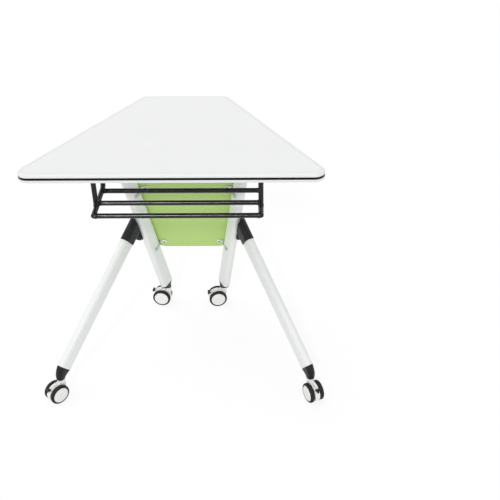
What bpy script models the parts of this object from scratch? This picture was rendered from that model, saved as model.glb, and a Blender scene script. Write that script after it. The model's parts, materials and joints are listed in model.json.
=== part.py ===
"""Trapezoid flip top training table with a book basket, a privacy panel and braked twin-wheel casters.

Metres, +Z up, +X along the long side, the long side facing -Y. While it is built, the table stands with
the middle of its long side at X = Y = 0 and the floor at Z = 0. At the end the root empty moves it so
that the origin is the bottom centre of the whole table.
"""

from math import atan2, cos, pi, radians, sin, sqrt, tan

import bmesh
import bpy
from mathutils import Matrix, Vector

# Fits
GAP = 0.0003                    # between faces that rest on each other
RUNNING_GAP = 0.0004            # round a shaft that something turns on

# Table top
TOP_LONG_SIDE = 0.810           # measured to the sharp corners
TOP_SHORT_SIDE = 0.250
TOP_DEPTH = 0.485
TOP_HEIGHT = 0.750
TOP_THICKNESS = 0.024
TOP_CORNER_RADIUS = 0.029
BAND_WIDTH = 0.014
BAND_ROUNDING = 0.003
STRIPE_HEIGHT = 0.006
STRIPE_DEPTH = 0.0025
STRIPE_DROP = 0.0088            # from the worktop down to the stripe

# Casters
WHEEL_RADIUS = 0.030
WHEEL_WIDTH = 0.0135
WHEEL_SPACE = 0.0175             # between the two wheels of a caster
TYRE_THICKNESS = 0.006
TYRE_SHOULDER = 0.0025
CASTER_TRAIL = 0.021
AXLE_RADIUS = 0.003
STEM_RADIUS = 0.005
STEM_INSERT = 0.012
HOOD_WIDTH = 0.015
HOOD_UNDERCUT = 0.0005          # hood below the tyre tread
HOOD_FLOOR_CLEARANCE = 0.012
HOOD_TOP_ANGLE = radians(100)   # where the round of the hood runs into the collar
HOOD_BACK_ANGLE = radians(165)  # where it starts again below the collar
HOOD_NECK_INSET = 0.002         # back of the hood inside the collar
COLLAR_RADIUS = 0.0115
COLLAR_HEIGHT = 0.0135
SWIVEL_CLEARANCE = 0.010        # tyre tread to the underside of the foot
BRAKE_WIDTH = 0.006
BRAKE_THICKNESS = 0.0018
BRAKE_LIFT = 0.0025             # pedal above the hood
BRAKE_EYE_RADIUS = 0.0036
BRAKE_PIN_RADIUS = 0.002
BRAKE_PIN_REACH = 0.006        # half length of the hinge pins
BRAKE_TAB_SIZE = 0.009
BRAKE_TAB_WIDTH = 0.013
BRAKE_TAB_ANGLE = radians(38)
BRAKE_PIVOT_ANGLE = radians(92)
CASTER_TURN = {                 # direction each caster trails in, from +X
    "front_left": radians(227),
    "front_right": radians(295),
    "rear_left": radians(173),
    "rear_right": radians(190),
}

# Leg frames: flat-oval tube, one straight rear leg and one strut to the front on each side
TUBE_WIDE = 0.050
TUBE_NARROW = 0.025
TUBE_WALL = 0.002
FRONT_FOOT_INSET = 0.037        # from the sharp front corner, along X
FRONT_FOOT_REACH = 0.005        # in front of the long side
REAR_FOOT_INSET = 0.030
REAR_FOOT_SETBACK = 0.048
PIVOT_HALF_SPAN = 0.181
PIVOT_SETBACK = 0.276
PIVOT_DROP = 0.053              # flip axis below the underside of the top
LEG_HEAD_RISE = 0.030           # rear leg above the flip axis
KNUCKLE_HEIGHT = 0.421          # where the axes of both tubes meet
KNUCKLE_WALL = 0.0025           # sleeve round the strut
KNUCKLE_REACH = 0.096           # mouth of the sleeve from the point where the axes meet
SADDLE_TOP = 0.012              # ends of the saddle below that point
SADDLE_DROP = 0.0925
SADDLE_BACK = 0.012             # saddle behind the axis of the rear leg, on its outer side
SADDLE_LOBE = 0.018             # saddle in front of the rear leg, down to the drop of its tip
SADDLE_TIP_DROP = 0.0815
SADDLE_EDGE = 0.003
SADDLE_PROUD = 0.001            # outer face of the saddle outside that of the sleeve
SADDLE_OFFSET = 0.002           # inner face of the saddle outside the leg axis
SLEEVE_STEP = 0.015             # in front of the rear leg, where the whole sleeve starts
STRUT_CLEARANCE = 0.002         # corner of the sleeve to the rear leg
STRUT_SETBACK = 0.020           # strut end from that corner
FRONT_SOCKET_LENGTH = 0.023
STRUT_RISE = 0.014              # strut axis above the caster seat
REAR_SOCKET_LENGTH = 0.025
SOCKET_BASE_RADIUS = 0.012
SOCKET_BULGE = 0.004
SOCKET_SHARES = (0.3, 0.65)     # where the socket is shaped between seat and tube
PLUG_LENGTH = 0.026

# Flip beam, its end caps and the arms under the top
BEAM_RADIUS = 0.020
CAP_RADIUS = 0.028
CAP_REACH = 0.057               # from the leg axis to the outer face of the cap
CAP_ROUNDING = 0.006
ARM_OFFSET = 0.124              # from the middle of the table
ARM_FRONT = 0.186               # in front of the flip axis
ARM_REAR = 0.100                # behind the flip axis
ARM_FLANGE_WIDTH = 0.040
ARM_FLANGE_THICKNESS = 0.004
ARM_WEB_THICKNESS = 0.008
ARM_WEB_DEPTH = 0.022
LUG_THICKNESS = 0.012
LUG_WALL = 0.008

# Latch
LOCK_PLATE_RADIUS = 0.032
LOCK_PLATE_THICKNESS = 0.006
NOTCH_DEPTH = 0.0095
NOTCH_BELOW = 0.004
NOTCH_ABOVE = 0.0175
LATCH_SETBACK = 0.058           # latch pin in front of the flip axis
LATCH_RISE = 0.034              # latch pin above the flip axis
LATCH_WIDTH = 0.010
LEVER_HALF_DEPTH = 0.006        # lever above and below its pin
HANDLE_DROP = 0.0036            # underside of the handle end below the pin
HOOK_DEPTH = 0.0132             # nose of the hook back to its heel
HOOK_THROAT = 0.0102            # nose of the hook back to its inner corner
NOSE_RISE = 0.0036
NOSE_DROP = 0.0024
LATCH_NOSE_CLEARANCE = 0.0025   # open nose to the lock plate
LATCH_HANDLE_LENGTH = 0.145
PADDLE_WIDTH = 0.070
PADDLE_LENGTH = 0.030
PADDLE_THICKNESS = 0.011
PIN_RADIUS = 0.003
EAR_THICKNESS = 0.003
EAR_RADIUS = 0.008
EAR_FOOT = 0.011                # half length of an ear where it meets the base
BRACKET_BASE = 0.003
BRACKET_LENGTH = 0.036
BRACKET_FOOT = 0.016

# Privacy panel, outside the rear legs and leaning with them
PANEL_DROP = 0.124              # top edge below the flip axis, along the slope
PANEL_LENGTH = 0.320
PANEL_THICKNESS = 0.012
PANEL_EDGE_INSET = 0.008        # side edges inside the leg axes
PANEL_CORNER_RADIUS = 0.032
PANEL_EDGE = 0.002
CLIP_THICKNESS = 0.0018
CLIP_HEIGHT = 0.014
CLIP_UPPER_INSET = 0.050        # from the top edge of the panel
CLIP_LOWER_INSET = 0.024        # from its bottom edge
CLIP_REACH = 0.006              # clip on the side of the leg, in front of the leg axis
CLIP_MARGIN = 0.0015            # strap round the screw cap
SCREW_OFFSET = 0.035            # screw cap inside the leg axis
SCREW_RADIUS = 0.0065
SCREW_HEIGHT = 0.003
BOLT_RADIUS = 0.0046            # over the corners of the hexagon
BOLT_HEIGHT = 0.003

# Book basket
BASKET_DROP = 0.145             # rod axes below the underside of the top
BASKET_HALF_WIDTH = 0.2235
BASKET_SETBACK = 0.080
RAIL_PITCH = 0.066
RAIL_COUNT = 3
RAIL_RADIUS = 0.006
ROD_RADIUS = 0.0067
POST_INSET = 0.045              # front posts behind the front rail
POST_CLEARANCE = 0.005          # rear post to the pivot cap
ROD_BEND = 0.012

# Facets
SMOOTH_ANGLE = radians(32)
EASE_ANGLE = radians(35)        # edges sharper than this are eased
MERGE_DISTANCE = 1e-6
CORNER_STEPS = 7
OVAL_STEPS = 8
WHEEL_STEPS = 32
ROUND_STEPS = 24
PIN_STEPS = 12
BOLT_SIDES = 6
ROD_STEPS = 12
HOOD_STEPS = 14
HOOD_BACK_STEPS = 4
BRAKE_STEPS = 8

# Worked out from the sizes above
UNDERSIDE = TOP_HEIGHT - TOP_THICKNESS
PIVOT_Z = UNDERSIDE - PIVOT_DROP
PIVOT = Vector((0, PIVOT_SETBACK, PIVOT_Z))
SOCKET_BASE_Z = 2 * WHEEL_RADIUS + SWIVEL_CLEARANCE
FRONT_FOOT_X = TOP_LONG_SIDE / 2 - FRONT_FOOT_INSET
REAR_FOOT_X = TOP_SHORT_SIDE / 2 - REAR_FOOT_INSET
REAR_FOOT_Y = TOP_DEPTH - REAR_FOOT_SETBACK
LATCH_PIN = PIVOT + Vector((0, -LATCH_SETBACK, LATCH_RISE))
HUB_RADIUS = WHEEL_RADIUS - TYRE_THICKNESS - GAP
HOOD_RADIUS = WHEEL_RADIUS - HOOD_UNDERCUT
BRAKE_INNER = HOOD_RADIUS + BRAKE_LIFT
BRAKE_OUTER = BRAKE_INNER + BRAKE_THICKNESS


def clear_scene():
    for item in list(bpy.data.objects):
        bpy.data.objects.remove(item, do_unlink=True)


def material(name, colour, roughness, metallic=0.0):
    finish = bpy.data.materials.new(name)
    finish.use_nodes = True
    shader = finish.node_tree.nodes["Principled BSDF"]
    shader.inputs["Base Color"].default_value = (*colour, 1.0)
    shader.inputs["Roughness"].default_value = roughness
    shader.inputs["Metallic"].default_value = metallic
    return finish


def empty(name, parent, location, turn=0.0):
    holder = bpy.data.objects.new(name, None)
    holder.parent = parent
    holder.location = location
    holder.rotation_euler = (0, 0, turn)
    bpy.context.scene.collection.objects.link(holder)
    return holder


def to_mesh(name, bm):
    bmesh.ops.remove_doubles(bm, verts=bm.verts, dist=MERGE_DISTANCE)
    bmesh.ops.recalc_face_normals(bm, faces=bm.faces)
    mesh = bpy.data.meshes.new(name)
    bm.to_mesh(mesh)
    bm.free()
    mesh.shade_smooth()
    mesh.set_sharp_from_angle(angle=SMOOTH_ANGLE)
    return mesh


def add_piece(name, mesh, finish, parent, location=(0, 0, 0), turn=0.0):
    piece = bpy.data.objects.new(name, mesh)
    piece.parent = parent
    piece.location = location
    piece.rotation_euler = (0, 0, turn)
    if not mesh.materials:
        mesh.materials.append(finish)
    bpy.context.scene.collection.objects.link(piece)
    return piece


def combine(mesh, tools, operation):
    """Unite a mesh with, or cut it by, each of the tool meshes in turn."""
    for tool in tools:
        work = bpy.data.objects.new("work", mesh)
        helper = bpy.data.objects.new("helper", tool)
        for item in (work, helper):
            bpy.context.scene.collection.objects.link(item)
        step = work.modifiers.new("combine", "BOOLEAN")
        step.operation = operation
        step.solver = "EXACT"
        step.object = helper
        seen = work.evaluated_get(bpy.context.evaluated_depsgraph_get())
        mesh = bpy.data.meshes.new_from_object(seen)
        for item in (work, helper):
            bpy.data.objects.remove(item, do_unlink=True)
    mesh.set_sharp_from_angle(angle=SMOOTH_ANGLE)
    return mesh


def unite(mesh, *tools):
    return combine(mesh, tools, "UNION")


def cut(mesh, *tools):
    return combine(mesh, tools, "DIFFERENCE")


def loft(loops, ring=False):
    """Skin loops of equally many points. A ring closes on itself, and otherwise both ends are capped."""
    bm = bmesh.new()
    rows = [[bm.verts.new(point) for point in loop] for loop in loops]
    count = len(rows[0])
    pairs = list(zip(rows, rows[1:]))
    if ring:
        pairs.append((rows[-1], rows[0]))
    else:
        bm.faces.new(rows[0])
        bm.faces.new(rows[-1])
    for row, following in pairs:
        for i in range(count):
            j = (i + 1) % count
            bm.faces.new((row[i], row[j], following[j], following[i]))
    return bm


def prism(outline, direction, bevel=0.0, bevel_steps=2):
    """Extrude a closed outline of 3-D points along a direction and ease its edges."""
    bm = bmesh.new()
    face = bm.faces.new([bm.verts.new(point) for point in outline])
    made = bmesh.ops.extrude_face_region(bm, geom=[face])
    moved = [item for item in made["geom"] if isinstance(item, bmesh.types.BMVert)]
    bmesh.ops.translate(bm, verts=moved, vec=direction)
    bmesh.ops.recalc_face_normals(bm, faces=bm.faces)
    if bevel:
        sharp = [edge for edge in bm.edges if edge.calc_face_angle() > EASE_ANGLE]
        bmesh.ops.bevel(bm, geom=sharp, offset=bevel, segments=bevel_steps, profile=0.5, affect="EDGES",
                        clamp_overlap=True)
    return bm


def box(low, high, bevel=0.0):
    corners = [(low[0], low[1]), (high[0], low[1]), (high[0], high[1]), (low[0], high[1])]
    return prism([Vector((x, y, low[2])) for x, y in corners], Vector((0, 0, high[2] - low[2])), bevel)


def rod(start, end, radius, steps):
    """A round bar between two points, with a flat facet facing straight down where it can."""
    start = Vector(start)
    line = Vector(end) - start
    bm = bmesh.new()
    bmesh.ops.create_cone(bm, cap_ends=True, segments=steps, radius1=radius, radius2=radius,
                          depth=line.length)
    turn = line.to_track_quat("Z", "Y").to_matrix().to_4x4()
    half_step = Matrix.Rotation(pi / steps, 4, "Z")
    bmesh.ops.transform(bm, matrix=Matrix.Translation(start + line / 2) @ turn @ half_step, verts=bm.verts)
    return bm


def turned(profile, steps, ring):
    """Spin (radius, y) points about the Y axis. A ring profile closes away from the axis."""
    bm = bmesh.new()
    start = pi / 2 + pi / steps
    verts = [bm.verts.new((r * cos(start), y, r * sin(start))) for r, y in profile]
    edges = [bm.edges.new(pair) for pair in zip(verts, verts[1:])]
    if ring:
        edges.append(bm.edges.new((verts[-1], verts[0])))
    bmesh.ops.spin(bm, geom=verts + edges, cent=(0, 0, 0), axis=(0, 1, 0), angle=2 * pi, steps=steps,
                   use_merge=True)
    return bm


def rounded_outline(corners, radius, steps):
    """Points round a convex polygon, counterclockwise, with an arc at each corner."""
    points = []
    count = len(corners)
    for i, corner in enumerate(corners):
        corner = Vector(corner)
        back = (Vector(corners[i - 1]) - corner).normalized()
        ahead = (Vector(corners[(i + 1) % count]) - corner).normalized()
        half_angle = back.angle(ahead) / 2
        centre = corner + (back + ahead).normalized() * (radius / sin(half_angle))
        first = corner + back * (radius / tan(half_angle)) - centre
        sweep = pi - 2 * half_angle
        for k in range(steps + 1):
            angle = sweep * k / steps
            points.append(centre + Matrix.Rotation(angle, 2) @ first)
    return points


def top_outline(inset):
    """The trapezoid of the top, moved inwards on all sides."""
    slope = atan2((TOP_LONG_SIDE - TOP_SHORT_SIDE) / 2, TOP_DEPTH)
    front_shift = inset * (1 + sin(slope)) / cos(slope)
    rear_shift = inset * (1 - sin(slope)) / cos(slope)
    front_x = TOP_LONG_SIDE / 2 - front_shift
    rear_x = TOP_SHORT_SIDE / 2 - rear_shift
    corners = [(-front_x, inset), (front_x, inset), (rear_x, TOP_DEPTH - inset), (-rear_x, TOP_DEPTH - inset)]
    return rounded_outline(corners, TOP_CORNER_RADIUS - inset, CORNER_STEPS)


def top_loop(inset, z):
    return [Vector((x, y, z)) - PIVOT for x, y in top_outline(inset)]


def oval_loop(centre, wide_axis, narrow_axis, growth=0.0):
    """Section of the leg tube, grown or shrunk evenly all round."""
    radius = TUBE_NARROW / 2 + growth
    straight = (TUBE_WIDE - TUBE_NARROW) / 2
    loop = []
    for side in (1, -1):
        for k in range(OVAL_STEPS + 1):
            angle = pi * k / OVAL_STEPS - side * pi / 2
            across = side * straight + radius * cos(angle)
            loop.append(centre + wide_axis * across + narrow_axis * (radius * sin(angle)))
    return loop


def round_loop(centre, first_axis, second_axis, radius):
    """A circle with as many points as a tube section, starting at the same side."""
    count = 2 * (OVAL_STEPS + 1)
    loop = []
    for k in range(count):
        angle = -pi / 2 + 2 * pi * (k + 0.5) / count
        loop.append(centre + first_axis * (radius * cos(angle)) + second_axis * (radius * sin(angle)))
    return loop


class LegFrame:
    """Axes of the rear leg and the front strut on one side, which meet inside the knuckle."""

    def __init__(self, side):
        self.side = side
        self.rear_foot = Vector((side * REAR_FOOT_X, REAR_FOOT_Y, SOCKET_BASE_Z))
        self.front_foot = Vector((side * FRONT_FOOT_X, -FRONT_FOOT_REACH, SOCKET_BASE_Z))
        self.head = PIVOT + Vector((side * PIVOT_HALF_SPAN, 0, 0))
        self.up = (self.head - self.rear_foot).normalized()
        climb = (KNUCKLE_HEIGHT - SOCKET_BASE_Z) / self.up.z
        self.knuckle = self.rear_foot + self.up * climb
        self.strut_end = self.front_foot + Vector((0, 0, STRUT_RISE))
        self.strut = (self.strut_end - self.knuckle).normalized()
        self.normal = self.up.cross(self.strut).normalized()
        self.rear_wide = (self.strut - self.up * self.strut.dot(self.up)).normalized()
        self.strut_wide = (self.up - self.strut * self.up.dot(self.strut)).normalized()
        reach = self.strut.dot(self.rear_wide)
        slope = self.strut_wide.dot(self.rear_wide)
        along = (TUBE_WIDE / 2 * (1 + slope) + STRUT_CLEARANCE) / reach
        corner = self.strut * along + self.strut_wide * (TUBE_WIDE / 2)
        self.saddle_rise = corner.dot(self.up) + 2 * KNUCKLE_WALL
        self.strut_head = self.knuckle + self.strut * (along + STRUT_SETBACK)

    def rear_solid(self, growth):
        ends = (self.rear_foot, self.head + self.up * (2 * LEG_HEAD_RISE))
        return loft([oval_loop(end, self.rear_wide, self.normal, growth) for end in ends])

    def slab(self, outline, inner, outer, bevel=0.0):
        """A prism between two offsets outwards, on points in front of the knuckle and along the leg."""
        outwards = self.normal * self.side
        start = self.knuckle + outwards * inner
        corners = [start + self.rear_wide * x + self.up * y for x, y in outline]
        return to_mesh("slab", prism(corners, outwards * (outer - inner), bevel))


def build_top(finish, flip):
    """Board, edge band and inlaid stripe."""
    board_loops = [top_loop(BAND_WIDTH + GAP, z) for z in (UNDERSIDE, TOP_HEIGHT)]
    add_piece("tabletop_board", to_mesh("tabletop_board", loft(board_loops)), finish["laminate"], flip)

    groove_top = TOP_HEIGHT - STRIPE_DROP + GAP
    groove_base = TOP_HEIGHT - STRIPE_DROP - STRIPE_HEIGHT - GAP
    ease = BAND_ROUNDING * (1 - sqrt(0.5))
    band_section = [
        (BAND_WIDTH, UNDERSIDE),
        (BAND_ROUNDING, UNDERSIDE),
        (ease, UNDERSIDE + ease),
        (0.0, UNDERSIDE + BAND_ROUNDING),
        (0.0, groove_base),
        (STRIPE_DEPTH + GAP, groove_base),
        (STRIPE_DEPTH + GAP, groove_top),
        (0.0, groove_top),
        (0.0, TOP_HEIGHT - BAND_ROUNDING),
        (ease, TOP_HEIGHT - ease),
        (BAND_ROUNDING, TOP_HEIGHT),
        (BAND_WIDTH, TOP_HEIGHT),
    ]
    band = loft([top_loop(inset, z) for inset, z in band_section], ring=True)
    add_piece("edge_band", to_mesh("edge_band", band), finish["edging"], flip)

    stripe_top = TOP_HEIGHT - STRIPE_DROP
    stripe_section = [
        (STRIPE_DEPTH, stripe_top - STRIPE_HEIGHT),
        (0.0, stripe_top - STRIPE_HEIGHT),
        (0.0, stripe_top),
        (STRIPE_DEPTH, stripe_top),
    ]
    stripe = loft([top_loop(inset, z) for inset, z in stripe_section], ring=True)
    add_piece("edge_stripe", to_mesh("edge_stripe", stripe), finish["stripe"], flip)


def build_arms(finish, flip):
    """Steel arms screwed under the board, each with a lug that turns on the flip beam."""
    seat = PIVOT_DROP - GAP
    flange_base = seat - ARM_FLANGE_THICKNESS
    web_base = seat - ARM_WEB_DEPTH
    web_end = ARM_FLANGE_THICKNESS
    for side, name in ((-1, "left"), (1, "right")):
        middle = side * ARM_OFFSET
        flange = box((middle - ARM_FLANGE_WIDTH / 2, -ARM_FRONT, flange_base),
                     (middle + ARM_FLANGE_WIDTH / 2, ARM_REAR, seat))
        web_line = [
            (-ARM_FRONT + web_end, flange_base + web_end / 2),
            (-ARM_FRONT + web_end, flange_base - web_end),
            (-ARM_FRONT + 2 * ARM_WEB_DEPTH, web_base),
            (ARM_REAR - 2 * ARM_WEB_DEPTH, web_base),
            (ARM_REAR - web_end, flange_base - web_end),
            (ARM_REAR - web_end, flange_base + web_end / 2),
        ]
        start = middle - ARM_WEB_THICKNESS / 2
        web = prism([Vector((start, y, z)) for y, z in web_line], Vector((ARM_WEB_THICKNESS, 0, 0)))
        lug_radius = BEAM_RADIUS + RUNNING_GAP + LUG_WALL
        lug_ends = [(middle + step * LUG_THICKNESS / 2, 0, 0) for step in (-1, 1)]
        lug = rod(lug_ends[0], lug_ends[1], lug_radius, ROUND_STEPS)
        cheek_half = lug_radius - LUG_WALL / 4
        cheek_line = [(-cheek_half, 0), (cheek_half, 0), (cheek_half, web_base + web_end),
                      (-cheek_half, web_base + web_end)]
        cheek_start = middle - (ARM_WEB_THICKNESS + LUG_THICKNESS) / 4
        cheek = prism([Vector((cheek_start, y, z)) for y, z in cheek_line],
                      Vector(((ARM_WEB_THICKNESS + LUG_THICKNESS) / 2, 0, 0)))
        bore_ends = [(middle + step * LUG_THICKNESS, 0, 0) for step in (-1, 1)]
        bore = rod(bore_ends[0], bore_ends[1], BEAM_RADIUS + RUNNING_GAP, ROUND_STEPS)
        arm = unite(to_mesh("flange", flange), to_mesh("web", web), to_mesh("lug", lug),
                    to_mesh("cheek", cheek))
        arm = cut(arm, to_mesh("bore", bore))
        add_piece("support_arm_" + name, arm, finish["frame_paint"], flip)


def build_basket(finish, flip):
    """Wire shelf: two end rods that turn up at the back, front posts and rails, hung from the board."""
    seat = PIVOT_DROP - GAP
    floor = PIVOT_DROP - BASKET_DROP
    front = BASKET_SETBACK - PIVOT_SETBACK
    rear = -CAP_RADIUS - POST_CLEARANCE - ROD_RADIUS
    side_line = [(front - RAIL_RADIUS / 2, floor)]
    side_line += [(rear - ROD_BEND * (1 - sin(angle)), floor + ROD_BEND * (1 - cos(angle)))
                  for angle in (0, pi / 6, pi / 3, pi / 2)]
    side_line.append((rear, seat))

    def end_rod(side):
        path = [Vector((side * BASKET_HALF_WIDTH, y, z)) for y, z in side_line]
        loops = []
        for i, point in enumerate(path):
            before = path[i] - path[i - 1] if i else path[1] - path[0]
            after = path[i + 1] - path[i] if i + 1 < len(path) else before
            along = (before.normalized() + after.normalized()).normalized()
            stretch = 1 / along.dot(after.normalized())
            across = along.cross(Vector((1, 0, 0)))
            loop = []
            for k in range(ROD_STEPS):
                angle = 2 * pi * (k + 0.5) / ROD_STEPS
                offset = Vector((cos(angle), 0, 0)) + across * (sin(angle) * stretch)
                loop.append(point + offset * ROD_RADIUS)
            loops.append(loop)
        post_ends = [(side * BASKET_HALF_WIDTH, front + POST_INSET, z) for z in (floor, seat)]
        post = rod(post_ends[0], post_ends[1], RAIL_RADIUS, ROD_STEPS)
        return unite(to_mesh("end_rod", loft(loops)), to_mesh("post", post))

    basket = end_rod(-1)
    rail_half = BASKET_HALF_WIDTH - ROD_RADIUS / 3
    for i in range(RAIL_COUNT):
        y = front + i * RAIL_PITCH
        ends = [(side * rail_half, y, floor) for side in (-1, 1)]
        basket = unite(basket, to_mesh("rail", rod(ends[0], ends[1], RAIL_RADIUS, ROD_STEPS)))
    basket = unite(basket, end_rod(1))
    add_piece("book_basket", basket, finish["black_paint"], flip)


def build_legs(finish, root):
    """Leg tubes, the beam and caps between and outside their heads, and the knuckles."""
    beam_half = PIVOT_HALF_SPAN - TUBE_NARROW / 4
    beam_ends = [(side * beam_half, PIVOT.y, PIVOT.z) for side in (-1, 1)]
    beam = to_mesh("beam", rod(beam_ends[0], beam_ends[1], BEAM_RADIUS, ROUND_STEPS))
    for side, name in ((-1, "left"), (1, "right")):
        frame = LegFrame(side)
        low = frame.rear_foot + frame.up * REAR_SOCKET_LENGTH
        high = frame.head + frame.up * LEG_HEAD_RISE
        rear = loft([
            oval_loop(high - frame.up * TUBE_WALL, frame.rear_wide, frame.normal, -TUBE_WALL),
            oval_loop(low, frame.rear_wide, frame.normal, -TUBE_WALL),
            oval_loop(low, frame.rear_wide, frame.normal),
            oval_loop(high, frame.rear_wide, frame.normal),
        ])
        add_piece("rear_leg_" + name, to_mesh("rear_leg", rear), finish["frame_paint"], root)

        low = frame.strut_end - frame.strut * FRONT_SOCKET_LENGTH
        strut = loft([
            oval_loop(frame.strut_head, frame.strut_wide, frame.normal, -TUBE_WALL),
            oval_loop(low, frame.strut_wide, frame.normal, -TUBE_WALL),
            oval_loop(low, frame.strut_wide, frame.normal),
            oval_loop(frame.strut_head, frame.strut_wide, frame.normal),
        ], ring=True)
        add_piece("front_leg_" + name, to_mesh("strut", strut), finish["frame_paint"], root)

        beam = cut(beam, to_mesh("cope", frame.rear_solid(GAP)))
        build_pivot_cap(finish, root, frame, name)
        build_knuckle(finish, root, frame, name)
    add_piece("pivot_beam", beam, finish["frame_paint"], root)


def build_pivot_cap(finish, root, frame, name):
    """Round plastic cap on the outside of a leg head, in line with the flip beam."""
    section = [
        (0.0, 0.0),
        (CAP_RADIUS, 0.0),
        (CAP_RADIUS, CAP_REACH - CAP_ROUNDING),
        (CAP_RADIUS - CAP_ROUNDING * (1 - sqrt(0.5)), CAP_REACH - CAP_ROUNDING * (1 - sqrt(0.5))),
        (CAP_RADIUS - CAP_ROUNDING, CAP_REACH),
        (0.0, CAP_REACH),
    ]
    cap = turned(section, ROUND_STEPS, ring=False)
    swing = Matrix.Rotation(-frame.side * pi / 2, 4, "Z")
    bmesh.ops.transform(cap, matrix=Matrix.Translation(frame.head) @ swing, verts=cap.verts)
    cap = cut(to_mesh("cap", cap), to_mesh("leg", frame.rear_solid(GAP)))
    add_piece("pivot_cap_" + name, cap, finish["black_plastic"], root)


def build_knuckle(finish, root, frame, name):
    """Moulded fitting: a saddle on the outer side of the rear leg and a sleeve for the front strut."""
    mouth = frame.knuckle + frame.strut * KNUCKLE_REACH
    sleeve = loft([oval_loop(end, frame.strut_wide, frame.normal, KNUCKLE_WALL)
                   for end in (frame.knuckle, mouth)])
    inside = frame.strut * (KNUCKLE_REACH / 2)
    saddle_line = [
        (-SADDLE_BACK, -SADDLE_TOP),
        (inside.dot(frame.rear_wide), inside.dot(frame.up)),
        (TUBE_WIDE / 2 + SADDLE_LOBE, -SADDLE_TIP_DROP),
        (TUBE_WIDE / 2, -SADDLE_DROP),
        (-SADDLE_BACK, -SADDLE_DROP),
    ]
    outer_face = TUBE_NARROW / 2 + KNUCKLE_WALL + SADDLE_PROUD
    saddle = frame.slab(saddle_line, SADDLE_OFFSET, outer_face, SADDLE_EDGE)
    cavity = loft([oval_loop(end, frame.strut_wide, frame.normal, GAP)
                   for end in (frame.strut_head - frame.strut * GAP, frame.strut_end)])
    far = 2 * TUBE_WIDE
    rise = frame.saddle_rise
    step = TUBE_WIDE / 2 + SLEEVE_STEP
    half = SADDLE_OFFSET + SADDLE_PROUD
    above = frame.slab([(-far, rise), (far, rise), (far, far), (-far, far)], -far, far)
    inner = frame.slab([(-far, -far), (step, -far), (step, far), (-far, far)], -far, half)
    knuckle = unite(cut(to_mesh("sleeve", sleeve), above, inner), saddle)
    knuckle = cut(knuckle, to_mesh("leg", frame.rear_solid(GAP)), to_mesh("cavity", cavity))
    add_piece("leg_knuckle_" + name, knuckle, finish["black_plastic"], root)


def build_sockets(finish, root):
    """Foot sockets: plugged into the tube end, running from its oval down to a round caster seat."""
    for side, side_name in ((-1, "left"), (1, "right")):
        frame = LegFrame(side)
        rear_end = frame.rear_foot + frame.up * REAR_SOCKET_LENGTH
        front_end = frame.strut_end - frame.strut * FRONT_SOCKET_LENGTH
        feet = (
            ("rear", frame.rear_foot, rear_end, frame.up, frame.rear_wide),
            ("front", frame.front_foot, front_end, -frame.strut, frame.strut_wide),
        )
        for end_name, foot, tube_end, along, wide in feet:
            first = Vector((wide.x, wide.y, 0)).normalized()
            second = Vector((frame.normal.x, frame.normal.y, 0)).normalized()
            hole = STEM_RADIUS + GAP
            seam = tube_end - along * GAP
            base = round_loop(foot, first, second, SOCKET_BASE_RADIUS)
            mouth = oval_loop(seam, wide, frame.normal)
            loops = [
                round_loop(foot + Vector((0, 0, STEM_INSERT + GAP)), first, second, hole),
                round_loop(foot, first, second, hole),
                base,
            ]
            for share in SOCKET_SHARES:
                bulge = first * (SOCKET_BULGE * 4 * share * (1 - share))
                loops.append([a.lerp(b, share) + bulge for a, b in zip(base, mouth)])
            loops.append(mouth)
            loops.append(oval_loop(seam, wide, frame.normal, -TUBE_WALL - GAP))
            loops.append(oval_loop(seam + along * PLUG_LENGTH, wide, frame.normal, -TUBE_WALL - GAP))
            mesh = to_mesh("socket", loft(loops))
            add_piece("foot_socket_" + end_name + "_" + side_name, mesh, finish["black_plastic"], root)


def build_panel(finish, root):
    """Privacy panel behind the rear legs and the four clips that hold it."""
    frame = LegFrame(1)
    down = Vector((0, -frame.up.y, -frame.up.z)).normalized()
    outwards = Vector((0, -down.z, down.y))
    drift = frame.up.x / sqrt(frame.up.y ** 2 + frame.up.z ** 2)
    straight = (TUBE_WIDE - TUBE_NARROW) / 2
    leg_reach = straight * abs(frame.rear_wide.dot(outwards)) + TUBE_NARROW / 2
    clip_base = leg_reach + GAP
    panel_base = clip_base + CLIP_THICKNESS + GAP
    ends = (PANEL_DROP, PANEL_DROP + PANEL_LENGTH)

    def leg_x(drop):
        return PIVOT_HALF_SPAN - drift * drop

    def point(x, drop, offset):
        return PIVOT + Vector((x, 0, 0)) + down * drop + outwards * offset

    top_x, base_x = (leg_x(drop) - PANEL_EDGE_INSET for drop in ends)
    corners = [(-top_x, ends[0]), (top_x, ends[0]), (base_x, ends[1]), (-base_x, ends[1])]
    outline = rounded_outline(corners, PANEL_CORNER_RADIUS, CORNER_STEPS)
    inner_face = [point(x, drop, panel_base) for x, drop in outline]
    panel = prism(inner_face, outwards * PANEL_THICKNESS, PANEL_EDGE, 1)
    add_piece("modesty_panel", to_mesh("panel", panel), finish["green"], root)

    for side, side_name in ((-1, "left"), (1, "right")):
        for drop, end_name in ((ends[0] + CLIP_UPPER_INSET, "upper"), (ends[1] - CLIP_LOWER_INSET, "lower")):
            clip = clip_mesh(LegFrame(side), point(side * leg_x(drop), drop, 0), outwards, clip_base)
            add_piece("panel_clip_" + end_name + "_" + side_name, clip, finish["zinc"], root)


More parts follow.
